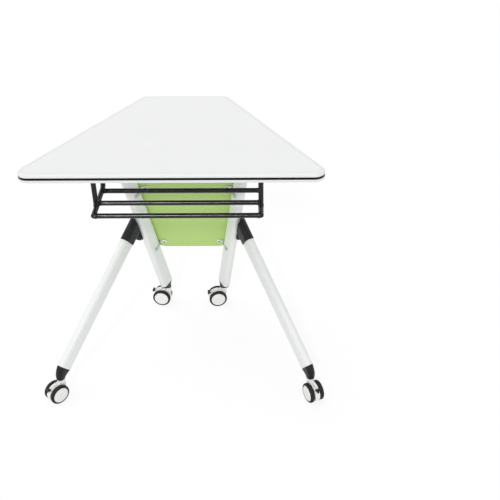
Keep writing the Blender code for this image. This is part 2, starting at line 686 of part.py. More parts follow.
def clip_mesh(frame, centre, outwards, clip_base):
    """Bent strap from the inner side of the leg to the panel, with its bolt and its screw cap."""
    across = frame.up.cross(outwards) * frame.side
    inwards = frame.normal * -frame.side
    side_near = TUBE_NARROW / 2 + GAP
    side_far = side_near + CLIP_THICKNESS
    leg_half = (TUBE_WIDE - TUBE_NARROW) / 2 * abs(frame.rear_wide.dot(across)) + TUBE_NARROW / 2
    bend = leg_half + GAP
    strap_end = SCREW_OFFSET + SCREW_RADIUS + CLIP_MARGIN

    def strap_point(x, offset):
        return centre + across * x + outwards * offset

    def side_point(distance, along):
        return centre + inwards * distance + frame.rear_wide * along

    def bend_point(distance, x):
        along = (x - distance * inwards.dot(across)) / frame.rear_wide.dot(across)
        return side_point(distance, along)

    outline = [
        side_point(side_near, CLIP_REACH),
        bend_point(side_near, bend),
        strap_point(bend, clip_base + CLIP_THICKNESS),
        strap_point(strap_end, clip_base + CLIP_THICKNESS),
        strap_point(strap_end, clip_base),
        strap_point(bend + CLIP_THICKNESS, clip_base),
        bend_point(side_far, bend + CLIP_THICKNESS),
        side_point(side_far, CLIP_REACH),
    ]
    half = frame.up * (CLIP_HEIGHT / 2)
    strap = to_mesh("strap", prism([corner - half for corner in outline], 2 * half))
    cap = rod(strap_point(SCREW_OFFSET, clip_base - SCREW_HEIGHT),
              strap_point(SCREW_OFFSET, clip_base + CLIP_THICKNESS / 2), SCREW_RADIUS, PIN_STEPS)
    bolt = rod(side_point(side_far - CLIP_THICKNESS / 2, 0), side_point(side_far + BOLT_HEIGHT, 0),
               BOLT_RADIUS, BOLT_SIDES)
    return unite(strap, to_mesh("cap", cap), to_mesh("bolt", bolt))


def build_latch(finish, root, flip, latch):
    """Notched lock plate on the beam, and the hooked lever under the top that drops into it."""
    ends = [PIVOT + Vector((step * LOCK_PLATE_THICKNESS / 2, 0, 0)) for step in (-1, 1)]
    plate = to_mesh("plate", rod(ends[0], ends[1], LOCK_PLATE_RADIUS, ROUND_STEPS))
    bore_ends = [PIVOT + Vector((step * LOCK_PLATE_THICKNESS, 0, 0)) for step in (-1, 1)]
    bore = to_mesh("bore", rod(bore_ends[0], bore_ends[1], BEAM_RADIUS + GAP, ROUND_STEPS))
    notch_floor = PIVOT.y - LOCK_PLATE_RADIUS + NOTCH_DEPTH
    notch = box((-LOCK_PLATE_THICKNESS, notch_floor - 2 * NOTCH_DEPTH, PIVOT.z - NOTCH_BELOW),
                (LOCK_PLATE_THICKNESS, notch_floor, PIVOT.z + NOTCH_ABOVE))
    add_piece("lock_plate", cut(plate, bore, to_mesh("notch", notch)), finish["zinc"], root)

    tip = LATCH_SETBACK - LOCK_PLATE_RADIUS - LATCH_NOSE_CLEARANCE
    lever_line = [
        (LEVER_HALF_DEPTH, LEVER_HALF_DEPTH),
        (-LATCH_HANDLE_LENGTH, LEVER_HALF_DEPTH),
        (-LATCH_HANDLE_LENGTH, -HANDLE_DROP),
        (-2 * LEVER_HALF_DEPTH, -LEVER_HALF_DEPTH),
        (tip - HOOK_DEPTH, -LATCH_RISE),
        (tip, -LATCH_RISE - NOSE_DROP),
        (tip, -LATCH_RISE + NOSE_RISE),
        (tip - HOOK_THROAT, -LATCH_RISE + HOOK_THROAT),
        (LEVER_HALF_DEPTH * 3 / 2, -LEVER_HALF_DEPTH),
    ]
    half = Vector((LATCH_WIDTH / 2, 0, 0))
    lever = prism([Vector((-half.x, y, z)) for y, z in lever_line], 2 * half)
    paddle = box((-PADDLE_WIDTH / 2, -LATCH_HANDLE_LENGTH - PADDLE_LENGTH / 2, -PADDLE_THICKNESS / 2),
                 (PADDLE_WIDTH / 2, -LATCH_HANDLE_LENGTH + PADDLE_LENGTH / 2, PADDLE_THICKNESS / 2),
                 PADDLE_THICKNESS / 4)
    eye = rod(-2 * half, 2 * half, PIN_RADIUS + RUNNING_GAP, PIN_STEPS)
    lever = cut(unite(to_mesh("lever", lever), to_mesh("paddle", paddle)), to_mesh("eye", eye))
    add_piece("latch_lever", lever, finish["black_plastic"], latch)

    seat = LATCH_PIN + Vector((0, 0, PIVOT_DROP - LATCH_RISE - GAP)) - PIVOT
    pin_centre = LATCH_PIN - PIVOT
    ear_inner = LATCH_WIDTH / 2 + RUNNING_GAP
    ear_outer = ear_inner + EAR_THICKNESS
    foot = ear_outer + BRACKET_FOOT
    bracket = to_mesh("base", box((-foot, seat.y - BRACKET_LENGTH / 2, seat.z - BRACKET_BASE),
                                  (foot, seat.y + BRACKET_LENGTH / 2, seat.z)))
    for side in (-1, 1):
        line = [(-EAR_FOOT, seat.z - BRACKET_BASE / 2 - pin_centre.z), (-EAR_RADIUS, 0)]
        line += [(-EAR_RADIUS * cos(a), -EAR_RADIUS * sin(a)) for a in (pi / 4, pi / 2, 3 * pi / 4)]
        line += [(EAR_RADIUS, 0), (EAR_FOOT, seat.z - BRACKET_BASE / 2 - pin_centre.z)]
        start = min(side * ear_inner, side * ear_outer)
        ear = prism([Vector((start, pin_centre.y + y, pin_centre.z + z)) for y, z in line],
                    Vector((EAR_THICKNESS, 0, 0)))
        bracket = unite(bracket, to_mesh("ear", ear))
    reach = Vector((2 * ear_outer, 0, 0))
    hole = rod(pin_centre - reach, pin_centre + reach, PIN_RADIUS + GAP, PIN_STEPS)
    add_piece("latch_bracket", cut(bracket, to_mesh("hole", hole)), finish["zinc"], flip)
    reach = Vector((ear_outer + PIN_RADIUS / 2, 0, 0))
    pin = rod(pin_centre - reach, pin_centre + reach, PIN_RADIUS, PIN_STEPS)
    add_piece("latch_pin", to_mesh("pin", pin), finish["steel"], flip)


def tyre_mesh():
    inner = WHEEL_SPACE / 2
    outer = inner + WHEEL_WIDTH
    bore = WHEEL_RADIUS - TYRE_THICKNESS
    shoulder = WHEEL_RADIUS - TYRE_SHOULDER
    section = [(bore, inner), (shoulder, inner), (WHEEL_RADIUS, inner + TYRE_SHOULDER),
               (WHEEL_RADIUS, outer - TYRE_SHOULDER), (shoulder, outer), (bore, outer)]
    return to_mesh("tyre", turned(section, WHEEL_STEPS, ring=True))


def hub_mesh():
    inner = WHEEL_SPACE / 2 + GAP
    outer = WHEEL_SPACE / 2 + WHEEL_WIDTH
    bore = AXLE_RADIUS + RUNNING_GAP
    bore_end = inner + WHEEL_WIDTH / 2
    rim = TYRE_SHOULDER / 2
    section = [(0.0, outer + rim / 2), (HUB_RADIUS / 2, outer + rim / 3), (HUB_RADIUS - rim, outer),
               (HUB_RADIUS, outer - rim), (HUB_RADIUS, inner), (bore, inner), (bore, bore_end),
               (0.0, bore_end)]
    return to_mesh("hub", turned(section, ROUND_STEPS, ring=False))


def polar(angle, radius):
    """A point in the mid-plane of a caster, round its axle."""
    return Vector((CASTER_TRAIL + radius * cos(angle), 0, WHEEL_RADIUS + radius * sin(angle)))


def hood_arc(first, last, steps):
    return [polar(first + (last - first) * k / steps, HOOD_RADIUS) for k in range(steps + 1)]


def hood_mesh():
    """Body between the wheels, with the swivel collar, the axle and stem bores and the brake slot."""
    low_angle = atan2(HOOD_FLOOR_CLEARANCE - WHEEL_RADIUS,
                      sqrt(HOOD_RADIUS ** 2 - (WHEEL_RADIUS - HOOD_FLOOR_CLEARANCE) ** 2))
    collar_top = SOCKET_BASE_Z - GAP
    collar_base = collar_top - COLLAR_HEIGHT
    neck = COLLAR_RADIUS - HOOD_NECK_INSET
    outline = hood_arc(low_angle, HOOD_TOP_ANGLE, HOOD_STEPS)
    outline += [Vector((-neck, 0, collar_base + COLLAR_HEIGHT / 4)), Vector((-neck, 0, collar_base - neck))]
    outline += hood_arc(HOOD_BACK_ANGLE, pi - low_angle, HOOD_BACK_STEPS)
    offset = Vector((0, HOOD_WIDTH / 2, 0))
    body = to_mesh("body", prism([p - offset for p in outline], 2 * offset))
    collar = rod((0, 0, collar_base), (0, 0, collar_top), COLLAR_RADIUS, ROUND_STEPS)
    hood = unite(body, to_mesh("collar", collar))

    axle = polar(0, 0)
    wide = Vector((0, HOOD_WIDTH, 0))
    axle_bore = rod(axle - wide, axle + wide, AXLE_RADIUS + GAP, PIN_STEPS)
    stem_bore = rod((0, 0, collar_top - 2 * COLLAR_HEIGHT), (0, 0, collar_top + COLLAR_HEIGHT),
                    STEM_RADIUS + GAP, PIN_STEPS)
    pivot = brake_pivot()
    reach = BRAKE_EYE_RADIUS + BRAKE_LIFT
    slot = box((pivot.x - reach, -BRAKE_WIDTH / 2 - RUNNING_GAP, pivot.z - BRAKE_EYE_RADIUS - RUNNING_GAP),
               (pivot.x + 2 * reach, BRAKE_WIDTH / 2 + RUNNING_GAP, pivot.z + 3 * reach))
    seat = Vector((0, BRAKE_PIN_REACH + GAP, 0))
    pin_bore = rod(pivot - seat, pivot + seat, BRAKE_PIN_RADIUS + RUNNING_GAP, PIN_STEPS)
    return cut(hood, to_mesh("axle_bore", axle_bore), to_mesh("stem_bore", stem_bore),
               to_mesh("slot", slot), to_mesh("pin_bore", pin_bore))


def brake_pivot():
    return polar(BRAKE_PIVOT_ANGLE, BRAKE_OUTER - BRAKE_EYE_RADIUS)


def brake_mesh():
    """Curved pedal over the hood: hinge eye with side pins at one end, foot tab at the other."""
    pivot = brake_pivot()
    sweep = BRAKE_PIVOT_ANGLE - BRAKE_TAB_ANGLE
    angles = [BRAKE_TAB_ANGLE + sweep * k / BRAKE_STEPS for k in range(BRAKE_STEPS + 1)]
    offset = Vector((0, BRAKE_WIDTH / 2 - GAP, 0))
    outline = [polar(a, BRAKE_OUTER) for a in angles] + [polar(a, BRAKE_INNER) for a in reversed(angles)]
    strip = to_mesh("strip", prism([p - offset - pivot for p in outline], 2 * offset))
    side = Vector((0, BRAKE_WIDTH / 2, 0))
    eye = to_mesh("eye", rod(-side, side, BRAKE_EYE_RADIUS, PIN_STEPS))
    pin_side = Vector((0, BRAKE_PIN_REACH, 0))
    pins = to_mesh("pins", rod(-pin_side, pin_side, BRAKE_PIN_RADIUS, PIN_STEPS))
    half = Vector((BRAKE_TAB_SIZE / 2, BRAKE_TAB_WIDTH / 2, BRAKE_TAB_SIZE / 2))
    tab = box(-half, half, BRAKE_TAB_SIZE / 5)
    centre = polar(BRAKE_TAB_ANGLE, BRAKE_INNER + BRAKE_TAB_SIZE / 2) - pivot
    tilt = Matrix.Rotation(-BRAKE_TAB_ANGLE, 4, "Y")
    bmesh.ops.transform(tab, matrix=Matrix.Translation(centre) @ tilt, verts=tab.verts)
    return unite(strip, eye, pins, to_mesh("tab", tab))


def build_casters(finish, root):
    tyre = tyre_mesh()
    hub = hub_mesh()
    hood = hood_mesh()
    brake = brake_mesh()
    collar_top = SOCKET_BASE_Z - GAP
    stem_base = collar_top - 2 * COLLAR_HEIGHT + GAP
    stem_top = SOCKET_BASE_Z + STEM_INSERT
    stem = to_mesh("stem", rod((0, 0, stem_base), (0, 0, stem_top), STEM_RADIUS, PIN_STEPS))
    axle_reach = Vector((0, WHEEL_SPACE / 2 + WHEEL_WIDTH / 2, 0))
    axle = to_mesh("axle", rod(-axle_reach, axle_reach, AXLE_RADIUS, PIN_STEPS))
    centre = polar(0, 0)
    for side, side_name in ((-1, "left"), (1, "right")):
        frame = LegFrame(side)
        for end_name, foot in (("front", frame.front_foot), ("rear", frame.rear_foot)):
            name = end_name + "_" + side_name
            swivel = empty("swivel_" + name, root, (foot.x, foot.y, 0), CASTER_TURN[name])
            add_piece("caster_stem_" + name, stem, finish["steel"], swivel)
            add_piece("caster_hood_" + name, hood, finish["ivory"], swivel)
            add_piece("caster_axle_" + name, axle, finish["steel"], swivel, centre)
            add_piece("caster_brake_" + name, brake, finish["black_plastic"], swivel, brake_pivot())
            for wheel_name, turn in (("a", 0.0), ("b", pi)):
                suffix = name + "_" + wheel_name
                add_piece("wheel_tyre_" + suffix, tyre, finish["rubber"], swivel, centre, turn)
                add_piece("wheel_hub_" + suffix, hub, finish["ivory"], swivel, centre, turn)


def centre_on_origin(root):
    """Move the root so that the origin lies at the bottom centre of all the pieces."""
    depsgraph = bpy.context.evaluated_depsgraph_get()
    points = []
    for piece in bpy.context.scene.objects:
        if piece.type == "MESH":
            seen = piece.evaluated_get(depsgraph)
            points += [seen.matrix_world @ vertex.co for vertex in seen.data.vertices]
    low = [min(p[i] for p in points) for i in range(3)]
    high = [max(p[i] for p in points) for i in range(3)]
    root.location = (-(low[0] + high[0]) / 2, -(low[1] + high[1]) / 2, -low[2])
    bpy.context.view_layer.update()


def main():
    clear_scene()
    finish = {
        "laminate": material("white laminate", (0.90, 0.91, 0.91), 0.35),
        "edging": material("white edging", (0.86, 0.87, 0.87), 0.40),
        "stripe": material("black edging stripe", (0.02, 0.02, 0.022), 0.45),
        "frame_paint": material("white powder coat", (0.83, 0.85, 0.84), 0.40),
        "black_plastic": material("black plastic", (0.02, 0.02, 0.024), 0.45),
        "black_paint": material("black powder coat", (0.016, 0.016, 0.018), 0.40),
        "green": material("green panel", (0.51, 0.75, 0.20), 0.50),
        "zinc": material("zinc plated steel", (0.62, 0.63, 0.64), 0.35, 1.0),
        "steel": material("bright steel", (0.70, 0.70, 0.71), 0.30, 1.0),
        "ivory": material("ivory nylon", (0.84, 0.84, 0.80), 0.40),
        "rubber": material("black tyre", (0.025, 0.025, 0.026), 0.60),
    }
    root = empty("table", None, (0, 0, 0))
    flip = empty("flip_axis", root, PIVOT)
    latch = empty("latch_axis", flip, LATCH_PIN - PIVOT)
    build_top(finish, flip)
    build_arms(finish, flip)
    build_basket(finish, flip)
    build_legs(finish, root)
    build_sockets(finish, root)
    build_panel(finish, root)
    build_latch(finish, root, flip, latch)
    build_casters(finish, root)
    bpy.context.view_layer.update()
    centre_on_origin(root)


main()
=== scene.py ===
import json
from math import atan2, cos, pi, radians, sin, sqrt, tan

import bmesh
import bpy
from bmesh.types import BMEdge, BMFace, BMVert
from mathutils import Matrix, Vector


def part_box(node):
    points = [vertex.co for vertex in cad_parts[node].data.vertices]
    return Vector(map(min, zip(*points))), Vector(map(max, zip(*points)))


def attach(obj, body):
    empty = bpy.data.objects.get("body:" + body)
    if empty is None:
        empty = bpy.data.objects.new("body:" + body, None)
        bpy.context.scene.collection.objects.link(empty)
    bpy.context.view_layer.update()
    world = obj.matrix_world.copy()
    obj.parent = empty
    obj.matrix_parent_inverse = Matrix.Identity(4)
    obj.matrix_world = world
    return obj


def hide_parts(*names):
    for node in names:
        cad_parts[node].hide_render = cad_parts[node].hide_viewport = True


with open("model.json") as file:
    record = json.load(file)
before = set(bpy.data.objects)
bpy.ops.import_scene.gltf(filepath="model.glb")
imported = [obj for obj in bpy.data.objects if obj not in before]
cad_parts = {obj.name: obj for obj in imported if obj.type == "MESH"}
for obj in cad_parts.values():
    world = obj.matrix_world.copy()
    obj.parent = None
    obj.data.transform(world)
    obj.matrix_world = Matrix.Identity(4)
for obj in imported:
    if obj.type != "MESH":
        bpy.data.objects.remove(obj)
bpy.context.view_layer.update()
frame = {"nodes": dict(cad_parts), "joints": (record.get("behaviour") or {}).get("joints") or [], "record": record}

slotOf = {row["node"]: row["material_slot"] for row in frame["record"]["subparts"]}
jointOf = {joint["name"]: joint for joint in frame["joints"]}
flipAxis = Vector(jointOf["top_flip"]["pos_m"])
corners = ("front_left", "front_right", "rear_left", "rear_right")
sides = (("left", -1), ("right", 1))
sideways, upright, downwards = Vector((1, 0, 0)), Vector((0, 0, 1)), Vector((0, 0, -1))
print("frame loaded:", len(frame["nodes"]), "nodes")


def newObject(name, data):
    made = bpy.data.objects.new(name, data)
    bpy.context.scene.collection.objects.link(made)
    return made


def meshObject(bm, name):
    # the bmesh is used up
    mesh = bpy.data.meshes.new(name)
    bm.to_mesh(mesh)
    bm.free()
    return newObject(name, mesh)


# Camera, set from the front edge of the table top

cameraView = {
    "focalPixels": 762.16,          # for the 500 pixel wide picture
    "principalPoint": (263.26, 238.28),
    "pictureSize": 500,
    "sensorWidth": 36.0,
    "offset": (0.2161, -1.6434),    # from the middle of the front edge
    "height": 1.6671,
    "pitchDown": 33.949,
    "turn": -0.44,
}


def makeCamera(view):
    low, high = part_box("edge_band")
    data = bpy.data.cameras.new("camera")
    data.sensor_width = view["sensorWidth"]
    data.lens = view["focalPixels"] / view["pictureSize"] * view["sensorWidth"]
    half = view["pictureSize"] / 2
    data.shift_x = (half - view["principalPoint"][0]) / view["pictureSize"]
    data.shift_y = (view["principalPoint"][1] - half) / view["pictureSize"]
    camera = newObject("camera", data)
    middle = (low.x + high.x) / 2
    camera.location = (middle + view["offset"][0], low.y + view["offset"][1], view["height"])
    camera.rotation_euler = (radians(90 - view["pitchDown"]), 0, radians(view["turn"]))
    bpy.context.scene.camera = camera


makeCamera(cameraView)
print("camera set")


# Materials

def linear(hexColour):
    parts = [int(hexColour[i:i + 2], 16) / 255 for i in (0, 2, 4)]
    return tuple(c / 12.92 if c <= 0.04045 else ((c + 0.055) / 1.055) ** 2.4 for c in parts) + (1.0,)


def addNode(tree, kind, settings=None, inputs=None):
    # an input goes by its name or number, and takes a value or a link
    node = tree.nodes.new(kind)
    for name, value in (settings or {}).items():
        setattr(node, name, value)
    for key, value in (inputs or {}).items():
        if isinstance(value, bpy.types.NodeSocket):
            tree.links.new(value, node.inputs[key])
        else:
            node.inputs[key].default_value = value
    return node


def perMetre(millimetres):
    return 1000.0 / millimetres     # texture scale for a feature of that size, on coordinates in metres


def surface(name, colours, roughness, cloud, grain, depth, shine, grainNode="ShaderNodeTexNoise"):
    # a soft cloud moves between two close colours and two roughnesses, and a finer grain gives the relief;
    # cloud and grain are each a feature size in millimetres and a detail, and depth is in millimetres
    material = bpy.data.materials.new(name)
    material.use_nodes = True
    tree = material.node_tree
    place = addNode(tree, "ShaderNodeTexCoord").outputs["Object"]
    textures = []
    for kind, (size, detail) in (("ShaderNodeTexNoise", cloud), (grainNode, grain)):
        texture = addNode(tree, kind, None, {"Vector": place, "Scale": perMetre(size), "Detail": detail})
        textures.append(texture.outputs[0])
    soft, fine = textures
    tint = addNode(tree, "ShaderNodeMix", {"data_type": "RGBA"},
                   {0: soft, 6: linear(colours[0]), 7: linear(colours[1])})
    band = addNode(tree, "ShaderNodeMapRange", None,
                   {"Value": soft, "To Min": roughness[0], "To Max": roughness[1]})
    bump = addNode(tree, "ShaderNodeBump", None, {"Height": fine, "Strength": 1.0, "Distance": depth / 1000})
    shader = tree.nodes["Principled BSDF"].inputs
    tree.links.new(tint.outputs[2], shader["Base Color"])
    tree.links.new(band.outputs["Result"], shader["Roughness"])
    tree.links.new(bump.outputs["Normal"], shader["Normal"])
    for key, value in shine.items():
        shader[key].default_value = value
    return material


def laminateWhite():
    # high pressure laminate, pressed against a fine suede plate: even white with a low, broken sheen;
    # the real grain is about 0.4 mm, drawn at 3 mm so that it shows
    return surface("white laminate", ("EFF1F0", "F3F4F3"), (0.40, 0.50), cloud=(90, 3.0),
                   grain=(3, 2.0), depth=0.02, shine={"IOR": 1.48})


def edgingPaintedShade():
    # moulded polyurethane edge: slightly softer than the laminate, with a satin skin; its colour is set a little
    # darker and cooler than the laminate's as painted shade for the band, whose front faces the lamps light about
    # as strongly as the top
    return surface("white moulded edging", ("E9EBEB", "EFF0F0"), (0.36, 0.48), cloud=(35, 4.0),
                   grain=(2, 2.0), depth=0.03, shine={"IOR": 1.47})


def stripeBlack():
    # soft vinyl bead pressed into the groove: near black, its shine dulled by bloom
    return surface("black vinyl bead", ("0A0B0D", "111215"), (0.40, 0.54), cloud=(12, 3.0),
                   grain=(1.5, 2.0), depth=0.03, shine={"IOR": 1.52, "Specular IOR Level": 0.15})


def powderCoat(name, colours, roughness, peel, reflection):
    # baked powder: even colour over a fine orange peel that breaks up the highlights;
    # real peel is near 1 mm across, drawn at 2 mm so that it shows
    return surface(name, colours, roughness, cloud=(60, 4.0),
                   grain=(2, 2.0), depth=peel, shine={"IOR": 1.45, "Specular IOR Level": reflection})


def nylonBlack():
    # glass filled nylon from a spark eroded mould: charcoal, with a dry grain that traps most of the shine
    return surface("black moulded nylon", ("0D0E11", "16171B"), (0.26, 0.40), cloud=(14, 5.0),
                   grain=(1.4, 0.0), grainNode="ShaderNodeTexVoronoi", depth=0.10,
                   shine={"IOR": 1.52, "Specular IOR Level": 0.26})


def laminateGreen():
    # matt apple green laminate: flat colour, hardly any sheen, a soft pressed grain
    return surface("green laminate", ("BBDB81", "C0DF86"), (0.50, 0.62), cloud=(70, 4.0),
                   grain=(2.5, 3.0), depth=0.04, shine={"IOR": 1.45})


def zincPlate():
    # bright zinc on pressed steel: light grey with cloudy patches of passivation
    return surface("zinc plated steel", ("C6C9CB", "D8DADB"), (0.28, 0.46), cloud=(6, 6.0),
                   grain=(1.2, 2.0), depth=0.02, shine={"Metallic": 1.0})


def steelBright():
    # drawn steel bar: clean grey metal with a fine, broken gloss
    return surface("bright drawn steel", ("C3C4C6", "DADBDC"), (0.18, 0.34), cloud=(1.5, 5.0),
                   grain=(1.5, 5.0), depth=0.02, shine={"Metallic": 1.0})


def nylonIvory():
    # natural nylon, injection moulded: warm white, smooth, with faint flow clouds
    return surface("ivory moulded nylon", ("F3F3F0", "F8F8F6"), (0.30, 0.42), cloud=(10, 4.0),
                   grain=(1.5, 2.0), depth=0.02,
                   shine={"IOR": 1.50, "Subsurface Weight": 0.05,
                          "Subsurface Radius": (0.002, 0.002, 0.0015)})


def tyreBlack():
    # soft polyurethane tread: dull black, greyer where it has picked up dust, which leaves little shine
    return surface("black soft tread", ("161617", "262626"), (0.52, 0.72), cloud=(5, 6.0),
                   grain=(1, 3.0), depth=0.05, shine={"IOR": 1.50, "Specular IOR Level": 0.25})


finishes = {
    "laminate_board": laminateWhite(),
    "white_edging": edgingPaintedShade(),
    "black_stripe": stripeBlack(),
    "white_paint": powderCoat("white powder coat", ("F0F2F1", "F4F6F5"), (0.34, 0.46), 0.05, 0.5),
    "black_paint": powderCoat("black powder coat", ("0C0D10", "131417"), (0.11, 0.14), 0.0008, 0.4),
    "black_plastic": nylonBlack(),
    "green_panel": laminateGreen(),
    "zinc_steel": zincPlate(),
    "bright_steel": steelBright(),
    "ivory_nylon": nylonIvory(),
    "black_tyre": tyreBlack(),
}
for nodeName, node in frame["nodes"].items():
    if not node.data.materials:
        node.data.materials.append(None)
    for materialSlot in node.material_slots:
        materialSlot.material = finishes[slotOf[nodeName]]
print("materials made:", len(finishes))


# Floor and light

studio = {
    "floorSize": 40.0,
    "floorColour": "F8F8F8",
    "seenGlow": 0.83,               # the floor that is seen shines by itself, so shadows stay faint on it
    "seenColour": 0.19,
    "skyLight": 0.58,
    "lamps": (
        # strength, softness in degrees, direction from the table to the lamp
        (0.74, 50, (-0.45, 0.15, 1.0)),
        (0.80, 6, (-0.15, -0.90, 0.68)),
        (0.14, 60, (0.80, -0.50, 0.70)),
    ),
}


def seenByEye(tree):
    # 1 where the camera looks at it directly, in a reflection or through something clear
    path = addNode(tree, "ShaderNodeLightPath").outputs
    direct = addNode(tree, "ShaderNodeMath", {"operation": "MAXIMUM"},
                     {0: path["Is Camera Ray"], 1: path["Is Glossy Ray"]})
    either = addNode(tree, "ShaderNodeMath", {"operation": "MAXIMUM"},
                     {0: direct.outputs[0], 1: path["Is Transmission Ray"]})
    return either.outputs[0]


def makeFloor(values):
    bm = bmesh.new()
    bmesh.ops.create_grid(bm, x_segments=1, y_segments=1, size=values["floorSize"] / 2)
    floor = meshObject(bm, "floor")
    floor.location.z = jointOf["swivel_front_left"]["pos_m"][2]
    material = bpy.data.materials.new("studio floor")
    material.use_nodes = True
    tree = material.node_tree
    tree.nodes.remove(tree.nodes["Principled BSDF"])
    plain = addNode(tree, "ShaderNodeBsdfDiffuse", None, {"Color": linear(values["floorColour"])})
    grey = values["seenColour"]
    shade = addNode(tree, "ShaderNodeBsdfDiffuse", None, {"Color": (grey, grey, grey, 1)})
    glow = addNode(tree, "ShaderNodeEmission", None, {"Strength": values["seenGlow"]})
    seen = addNode(tree, "ShaderNodeAddShader", None, {0: shade.outputs[0], 1: glow.outputs[0]})
    both = addNode(tree, "ShaderNodeMixShader", None,
                   {"Fac": seenByEye(tree), 1: plain.outputs[0], 2: seen.outputs[0]})
    tree.links.new(both.outputs[0], tree.nodes["Material Output"].inputs["Surface"])
    floor.data.materials.append(material)


def makeLight(values):
    world = bpy.data.worlds.new("studio")
    world.use_nodes = True
    bpy.context.scene.world = world
    tree = world.node_tree
    background = tree.nodes["Background"]
    background.inputs["Color"].default_value = (1, 1, 1, 1)
    strength = addNode(tree, "ShaderNodeMapRange", None,
                       {"Value": seenByEye(tree), "To Min": values["skyLight"], "To Max": 1.0})
    tree.links.new(strength.outputs["Result"], background.inputs["Strength"])
    for number, (power, softness, direction) in enumerate(values["lamps"]):
        data = bpy.data.lights.new("lamp" + str(number), "SUN")
        data.energy = power
        data.angle = radians(softness)
        lamp = newObject(data.name, data)
        lamp.rotation_euler = Vector(direction).to_track_quat("Z", "Y").to_euler()
    bpy.context.scene.view_settings.view_transform = "Standard"


makeFloor(studio)
makeLight(studio)
print("floor and light made")


# Tools for the pieces

workshop = {
    "weldDistance": 1e-6,           # points closer than this become one
    "edgeDistance": 1e-5,           # how near the middle of an edge is to a point that picks it
    "endSides": 8,                  # the end of a prism has more sides than this
    "pinEase": 0.15,                # share of a pin's radius taken off its rims
    "pinSteps": 32,
    "panHead": (
        # shares of a screw's radius and rise, from the drive recess to the underside
        (0, 0.45), (0.30, 0.45), (0.38, 1), (0.62, 0.94), (0.88, 0.62), (1, 0.15), (1, -0.3), (0, -0.3),
    ),
    "panHeadSteps": 32,
}


def basis(origin, xAxis, yAxis, zAxis):
    matrix = Matrix((xAxis, yAxis, zAxis)).transposed().to_4x4()
    matrix.translation = origin
    return matrix


def only(kind, parts):
    return [part for part in parts if isinstance(part, kind)]


def placed(bm, matrix):
    bmesh.ops.transform(bm, matrix=matrix, verts=bm.verts)
    return bm


def moved(bm, shift):
    bmesh.ops.translate(bm, vec=shift, verts=bm.verts)
    return bm


def facedOut(bm):
    bmesh.ops.recalc_face_normals(bm, faces=bm.faces)


def welded(bm):
    bmesh.ops.remove_doubles(bm, verts=bm.verts, dist=workshop["weldDistance"])


def extruded(bm, faces, shift):
    made = bmesh.ops.extrude_face_region(bm, geom=faces)["geom"]
    bmesh.ops.translate(bm, vec=shift, verts=only(BMVert, made))
    return only(BMFace, made)


def drawn(bm, edges, shift):
    made = bmesh.ops.extrude_edge_only(bm, edges=edges)["geom"]
    bmesh.ops.translate(bm, vec=shift, verts=only(BMVert, made))
    return only(BMEdge, made)


def bent(bm, edges, centre, axis, angle, steps):
    made = bmesh.ops.spin(bm, geom=edges, cent=centre, axis=axis, angle=angle, steps=steps)
    return only(BMEdge, made["geom_last"])


def closed(bm, edges):
    # fills the last loop of a shape that was drawn out or bent
    bmesh.ops.contextual_create(bm, geom=edges)
    facedOut(bm)


def eased(bm, edges, offset, segments):
    bmesh.ops.bevel(bm, geom=edges, offset=offset, offset_type="OFFSET", affect="EDGES", segments=segments,
                    profile=0.5, material=-1, clamp_overlap=True)


def sharpEdges(bm, angle=60):
    bm.normal_update()
    return [edge for edge in bm.edges if edge.calc_face_angle(0) > radians(angle)]


def edgesAt(bm, points):
    found = []
    for edge in bm.edges:
        middle = (edge.verts[0].co + edge.verts[1].co) / 2
        if any((middle - point).length < workshop["edgeDistance"] for point in points):
            found.append(edge)
    return found


def endFaces(bm):
    # both ends of an upright prism, the lower one first
    ends = [face for face in bm.faces if len(face.verts) > workshop["endSides"]]
    return sorted(ends, key=lambda face: face.calc_center_median().z)


def rectangle(halfWide, halfDeep):
    return [Vector((x * halfWide, y * halfDeep, 0)) for x, y in ((-1, -1), (1, -1), (1, 1), (-1, 1))]


def roundedFace(bm, points, radius, steps):
    # a face in the plane of X and Y, its points counterclockwise, with each corner turned by a spin
    ring = []
    for i, corner in enumerate(points):
        back = (points[i - 1] - corner).normalized()
        onward = (points[(i + 1) % len(points)] - corner).normalized()
        half = back.angle(onward) / 2
        centre = corner + (back + onward).normalized() * (radius / sin(half))
        ring.append(bm.verts.new(corner + back * (radius / tan(half))))
        known = len(bm.verts)
        bmesh.ops.spin(bm, geom=[ring[-1]], cent=centre, axis=(0, 0, 1), angle=pi - 2 * half, steps=steps)
        ring += list(bm.verts)[known:]
    return bm.faces.new(ring)


def prism(points, radius, steps, height):
    bm = bmesh.new()
    extruded(bm, [roundedFace(bm, points, radius, steps)], (0, 0, height))
    return bm


def block(size):
    bm = bmesh.new()
    bmesh.ops.create_cube(bm, size=1.0)
    bmesh.ops.scale(bm, verts=bm.verts, vec=size)
    return bm


def hollowed(bm, walls):
    # bores a prism through, leaving the wall given for its lower and for its upper end
    ends = endFaces(bm)
    for face, wall in zip(ends, walls):
        bmesh.ops.inset_region(bm, faces=[face], thickness=wall, use_even_offset=True)
    loops = [edge for face in ends for edge in face.edges]
    bmesh.ops.delete(bm, geom=ends, context="FACES_ONLY")
    bmesh.ops.bridge_loops(bm, edges=loops)
    facedOut(bm)


def scaled(profile, radius, rise):
    return [(radius * across, rise * up) for across, up in profile]


def spun(profile, steps):
    # turns (radius, height) points about the Z axis
    bm = bmesh.new()
    verts = [bm.verts.new((radius, 0, height)) for radius, height in profile]
    edges = [bm.edges.new(pair) for pair in zip(verts, verts[1:])]
    bmesh.ops.spin(bm, geom=verts + edges, cent=(0, 0, 0), axis=(0, 0, 1), angle=2 * pi, steps=steps,
                   use_merge=True)
    welded(bm)
    facedOut(bm)
    return bm


def spunAlong(profile, start, axis, steps):
    across = axis.orthogonal().normalized()
    return placed(spun(profile, steps), basis(start, across, axis.cross(across), axis))


def cylinder(centre, axis, radius, reach, steps):
    profile = [(0, -reach), (radius, -reach), (radius, reach), (0, reach)]
    return spunAlong(profile, centre, axis, steps)


